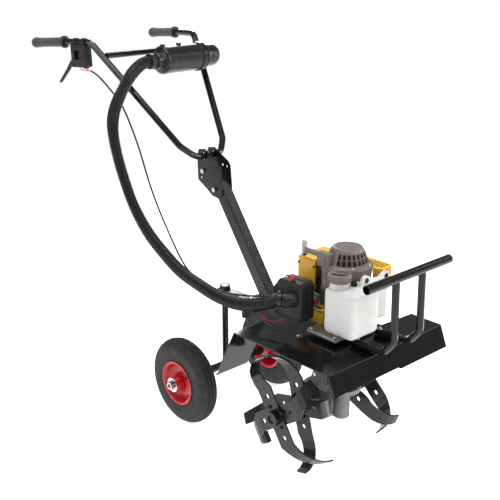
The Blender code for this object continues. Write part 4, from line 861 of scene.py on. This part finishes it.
for y in (-0.034, 0.034):
    for x in (-0.140, -0.052):
        add_bolt(bm, at(x, y, 0.4209), UP, 0.0060, 0.0048, 0.0086, 0.3)
    for z in (0.366, 0.398):
        add_bolt(bm, at(-0.1720, y, z), (-1, 0, 0), 0.0050, 0.0001)
piece("foot_bolts", to_mesh(bm, "foot_bolts"), "zinc", "chassis", "zinc", smooth=30)
bm = bmesh.new()
for y in (-0.04836, 0.04836):
    add_bolt(bm, at(0.300, y, 0.4394), UP, 0.0052, 0.0040, 0.0074, 0.1)
for x, y in ((0.150, -0.122), (0.055, 0.090)):
    add_bolt(bm, at(x, y, DECK_Z), UP, 0.0050, 0.0038, 0.0076, 0.5)
add_bolt(bm, at(0.3225, -0.2395, 0.4070), (0, -1, 0), 0.0034, 0.0022, 0.0050)
piece("deck_bolts", to_mesh(bm, "deck_bolts"), "zinc", "chassis", "zinc", smooth=30)
bm = bmesh.new()
add_tube(bm, [at(0.3695, -0.236, 0.4172), at(0.3695, 0.236, 0.4172)], 0.0017, 10)
add_tube(bm, [at(0.010, -0.2385, 0.4172), at(0.360, -0.2385, 0.4172)], 0.0014, 10)
piece("deck_hem", to_mesh(bm, "deck_hem"), "black_paint", "chassis", "black_paint")
bm = bmesh.new()
add_lathe(bm, [(0.0102, 0.0), (0.0170, 0.0), (0.0178, 0.0008), (0.0178, 0.0104), (0.0170, 0.0112), (0.0102, 0.0112)],
          frame_of(at(-0.285, -0.020, 0.4102), UP), 36)
COLLAR_ROD = [(-0.285, -0.036, 0.4160), (-0.285, -0.048, 0.4160), (-0.279, -0.054, 0.4120),
              (-0.262, -0.054, 0.4110)]
add_tube(bm, [at(*p) for p in COLLAR_ROD], 0.0024, 12)
piece("post_collar", to_mesh(bm, "post_collar"), "dark_steel", "chassis", "dark_steel")

# ------------------------------------------------------------------ throttle housing and wires
BAR_DIR = Vector((0.107, 0.015, 0.0055)).normalized()
BAR_UP = (Vector(UP) - BAR_DIR * BAR_DIR.z).normalized()
HOUSE = Matrix((BAR_DIR, BAR_UP.cross(BAR_DIR), BAR_UP)).transposed().to_4x4()
HOUSE.translation = at(-0.807, -0.2225, 1.1605) + BAR_DIR * 0.058


def carved(name, base, cuts):
    """Mesh of the first body with the others cut out of it."""
    objects = [bpy.data.objects.new(name + str(i), mesh) for i, mesh in enumerate([base] + cuts)]
    for obj in objects:
        bpy.context.scene.collection.objects.link(obj)
    for cutter in objects[1:]:
        mod = objects[0].modifiers.new("cut", "BOOLEAN")
        mod.operation = "DIFFERENCE"
        mod.solver = "EXACT"
        mod.object = cutter
    bpy.context.view_layer.update()
    mesh = bpy.data.meshes.new_from_object(objects[0].evaluated_get(bpy.context.evaluated_depsgraph_get()))
    for obj in objects:
        bpy.data.objects.remove(obj, do_unlink=True)
    return mesh


def house_box(low, high, edge=0.0):
    return to_mesh(add_box(bmesh.new(), low, high, HOUSE, edge, 3), "house_box")


bore = add_tube(bmesh.new(), [HOUSE @ Vector((-0.06, 0, 0)), HOUSE @ Vector((0.06, 0, 0))], 0.0109, 32)
case = carved("case", house_box((-0.033, -0.0163, -0.0778), (0.033, 0.0163, -0.0062), 0.0035), [
    to_mesh(bore, "bore"),
    house_box((-0.015, -0.05, -0.052), (0.014, -0.004, -0.024), 0.001),
    house_box((-0.05, -0.0042, -0.068), (-0.018, 0.0042, -0.030)),
    house_box((0.0085, -0.0065, -0.1000), (0.0275, 0.0065, -0.0690)),
])
piece("throttle_case", case, "black_plastic", "handlebar", "black_plastic", 30, ["throttle_housing"])
bm = bmesh.new()
for x in (-0.026, 0.012):
    strap = frame_of(HOUSE @ Vector((x, 0, 0)), BAR_DIR)
    add_lathe(bm, [(0.0108, 0.0), (0.0128, 0.0004), (0.0128, 0.0136), (0.0108, 0.0140)], strap, 40)
    add_box(bm, (x, -0.0100, -0.0125), (x + 0.0140, 0.0100, -0.0060), HOUSE, 0.001, 1)
for x, z in ((0.024, -0.014), (-0.024, -0.072)):
    add_screw(bm, HOUSE @ Vector((x, -0.0162, z)), HOUSE.to_3x3() @ Vector((0, -1, 0)), 0.0034, 0.0020)
piece("throttle_clamp", to_mesh(bm, "throttle_clamp"), "black_plastic", "handlebar", "black_plastic")
WIRE_LOOP = [(0.004, -0.0060, -0.0255), (0.009, -0.0120, -0.031), (0.0105, -0.0150, -0.040),
             (0.0085, -0.0130, -0.048), (0.006, -0.0070, -0.0515)]
loop = dense([HOUSE @ Vector(p) for p in WIRE_LOOP], 0.002)
tube("throttle_wire_loop", loop, 0.0012, "red_wire", "handlebar", 12, slot="red_plastic")


def lead(name, points, spacing, radius, colour, body):
    line = dense(points, spacing)
    wire = tube(name, line, radius, colour + "_wire", body, 12, slot=colour + "_plastic")


for colour, y in (("red", -0.0100), ("black", 0.0090)):
    start = HOUSE @ Vector((0.0020, y, -0.0776))
    goal = at(*CABLE_POINTS[0])
    sag = start.lerp(goal, 0.55) + Vector((0, 0, -0.0045))
    route = [start, start + Vector((0.006, 0.0, -0.0060)), sag, goal]
    lead("lead_" + colour, route, 0.002, 0.0011, colour, "handlebar")

DECK_LEAD = [(-0.070, -0.1600, 0.4870), (-0.030, -0.1670, 0.4700), (0.027, -0.1700, 0.4530), (0.075, -0.1700, 0.4435),
             (0.118, -0.1710, 0.4350), (0.150, -0.1760, 0.4260), (0.163, -0.1790, 0.4190)]
RED_LEAD = [(0.050, -0.1905, 0.4945), (0.058, -0.1850, 0.4760), (0.074, -0.1780, 0.4610), (0.094, -0.1660, 0.4590),
            (0.110, -0.1540, 0.4660), (0.117, -0.1480, 0.4738)]
lead("deck_lead", [at(*p) for p in DECK_LEAD], 0.003, 0.0015, "black", "chassis")
lead("red_lead", [at(*p) for p in RED_LEAD], 0.003, 0.0013, "red", "chassis")
bm = bmesh.new()
SLEEVE = [(0.030, -0.1700, 0.4524), (0.075, -0.1700, 0.4435), (0.112, -0.1707, 0.4363)]
sleeve = dense([at(*p) for p in SLEEVE], 0.003)
add_tube(bm, sleeve, [0.0022] + [0.0030] * (len(sleeve) - 2) + [0.0022], 16)
add_lathe(bm, [(0.0, 0.0032), (0.0050, 0.0026), (0.0066, 0.0), (0.0, 0.0)],
          frame_of(at(0.163, -0.1790, DECK_Z), UP), 28)
piece("lead_sleeve", to_mesh(bm, "lead_sleeve"), "rubber", "chassis", "rubber")
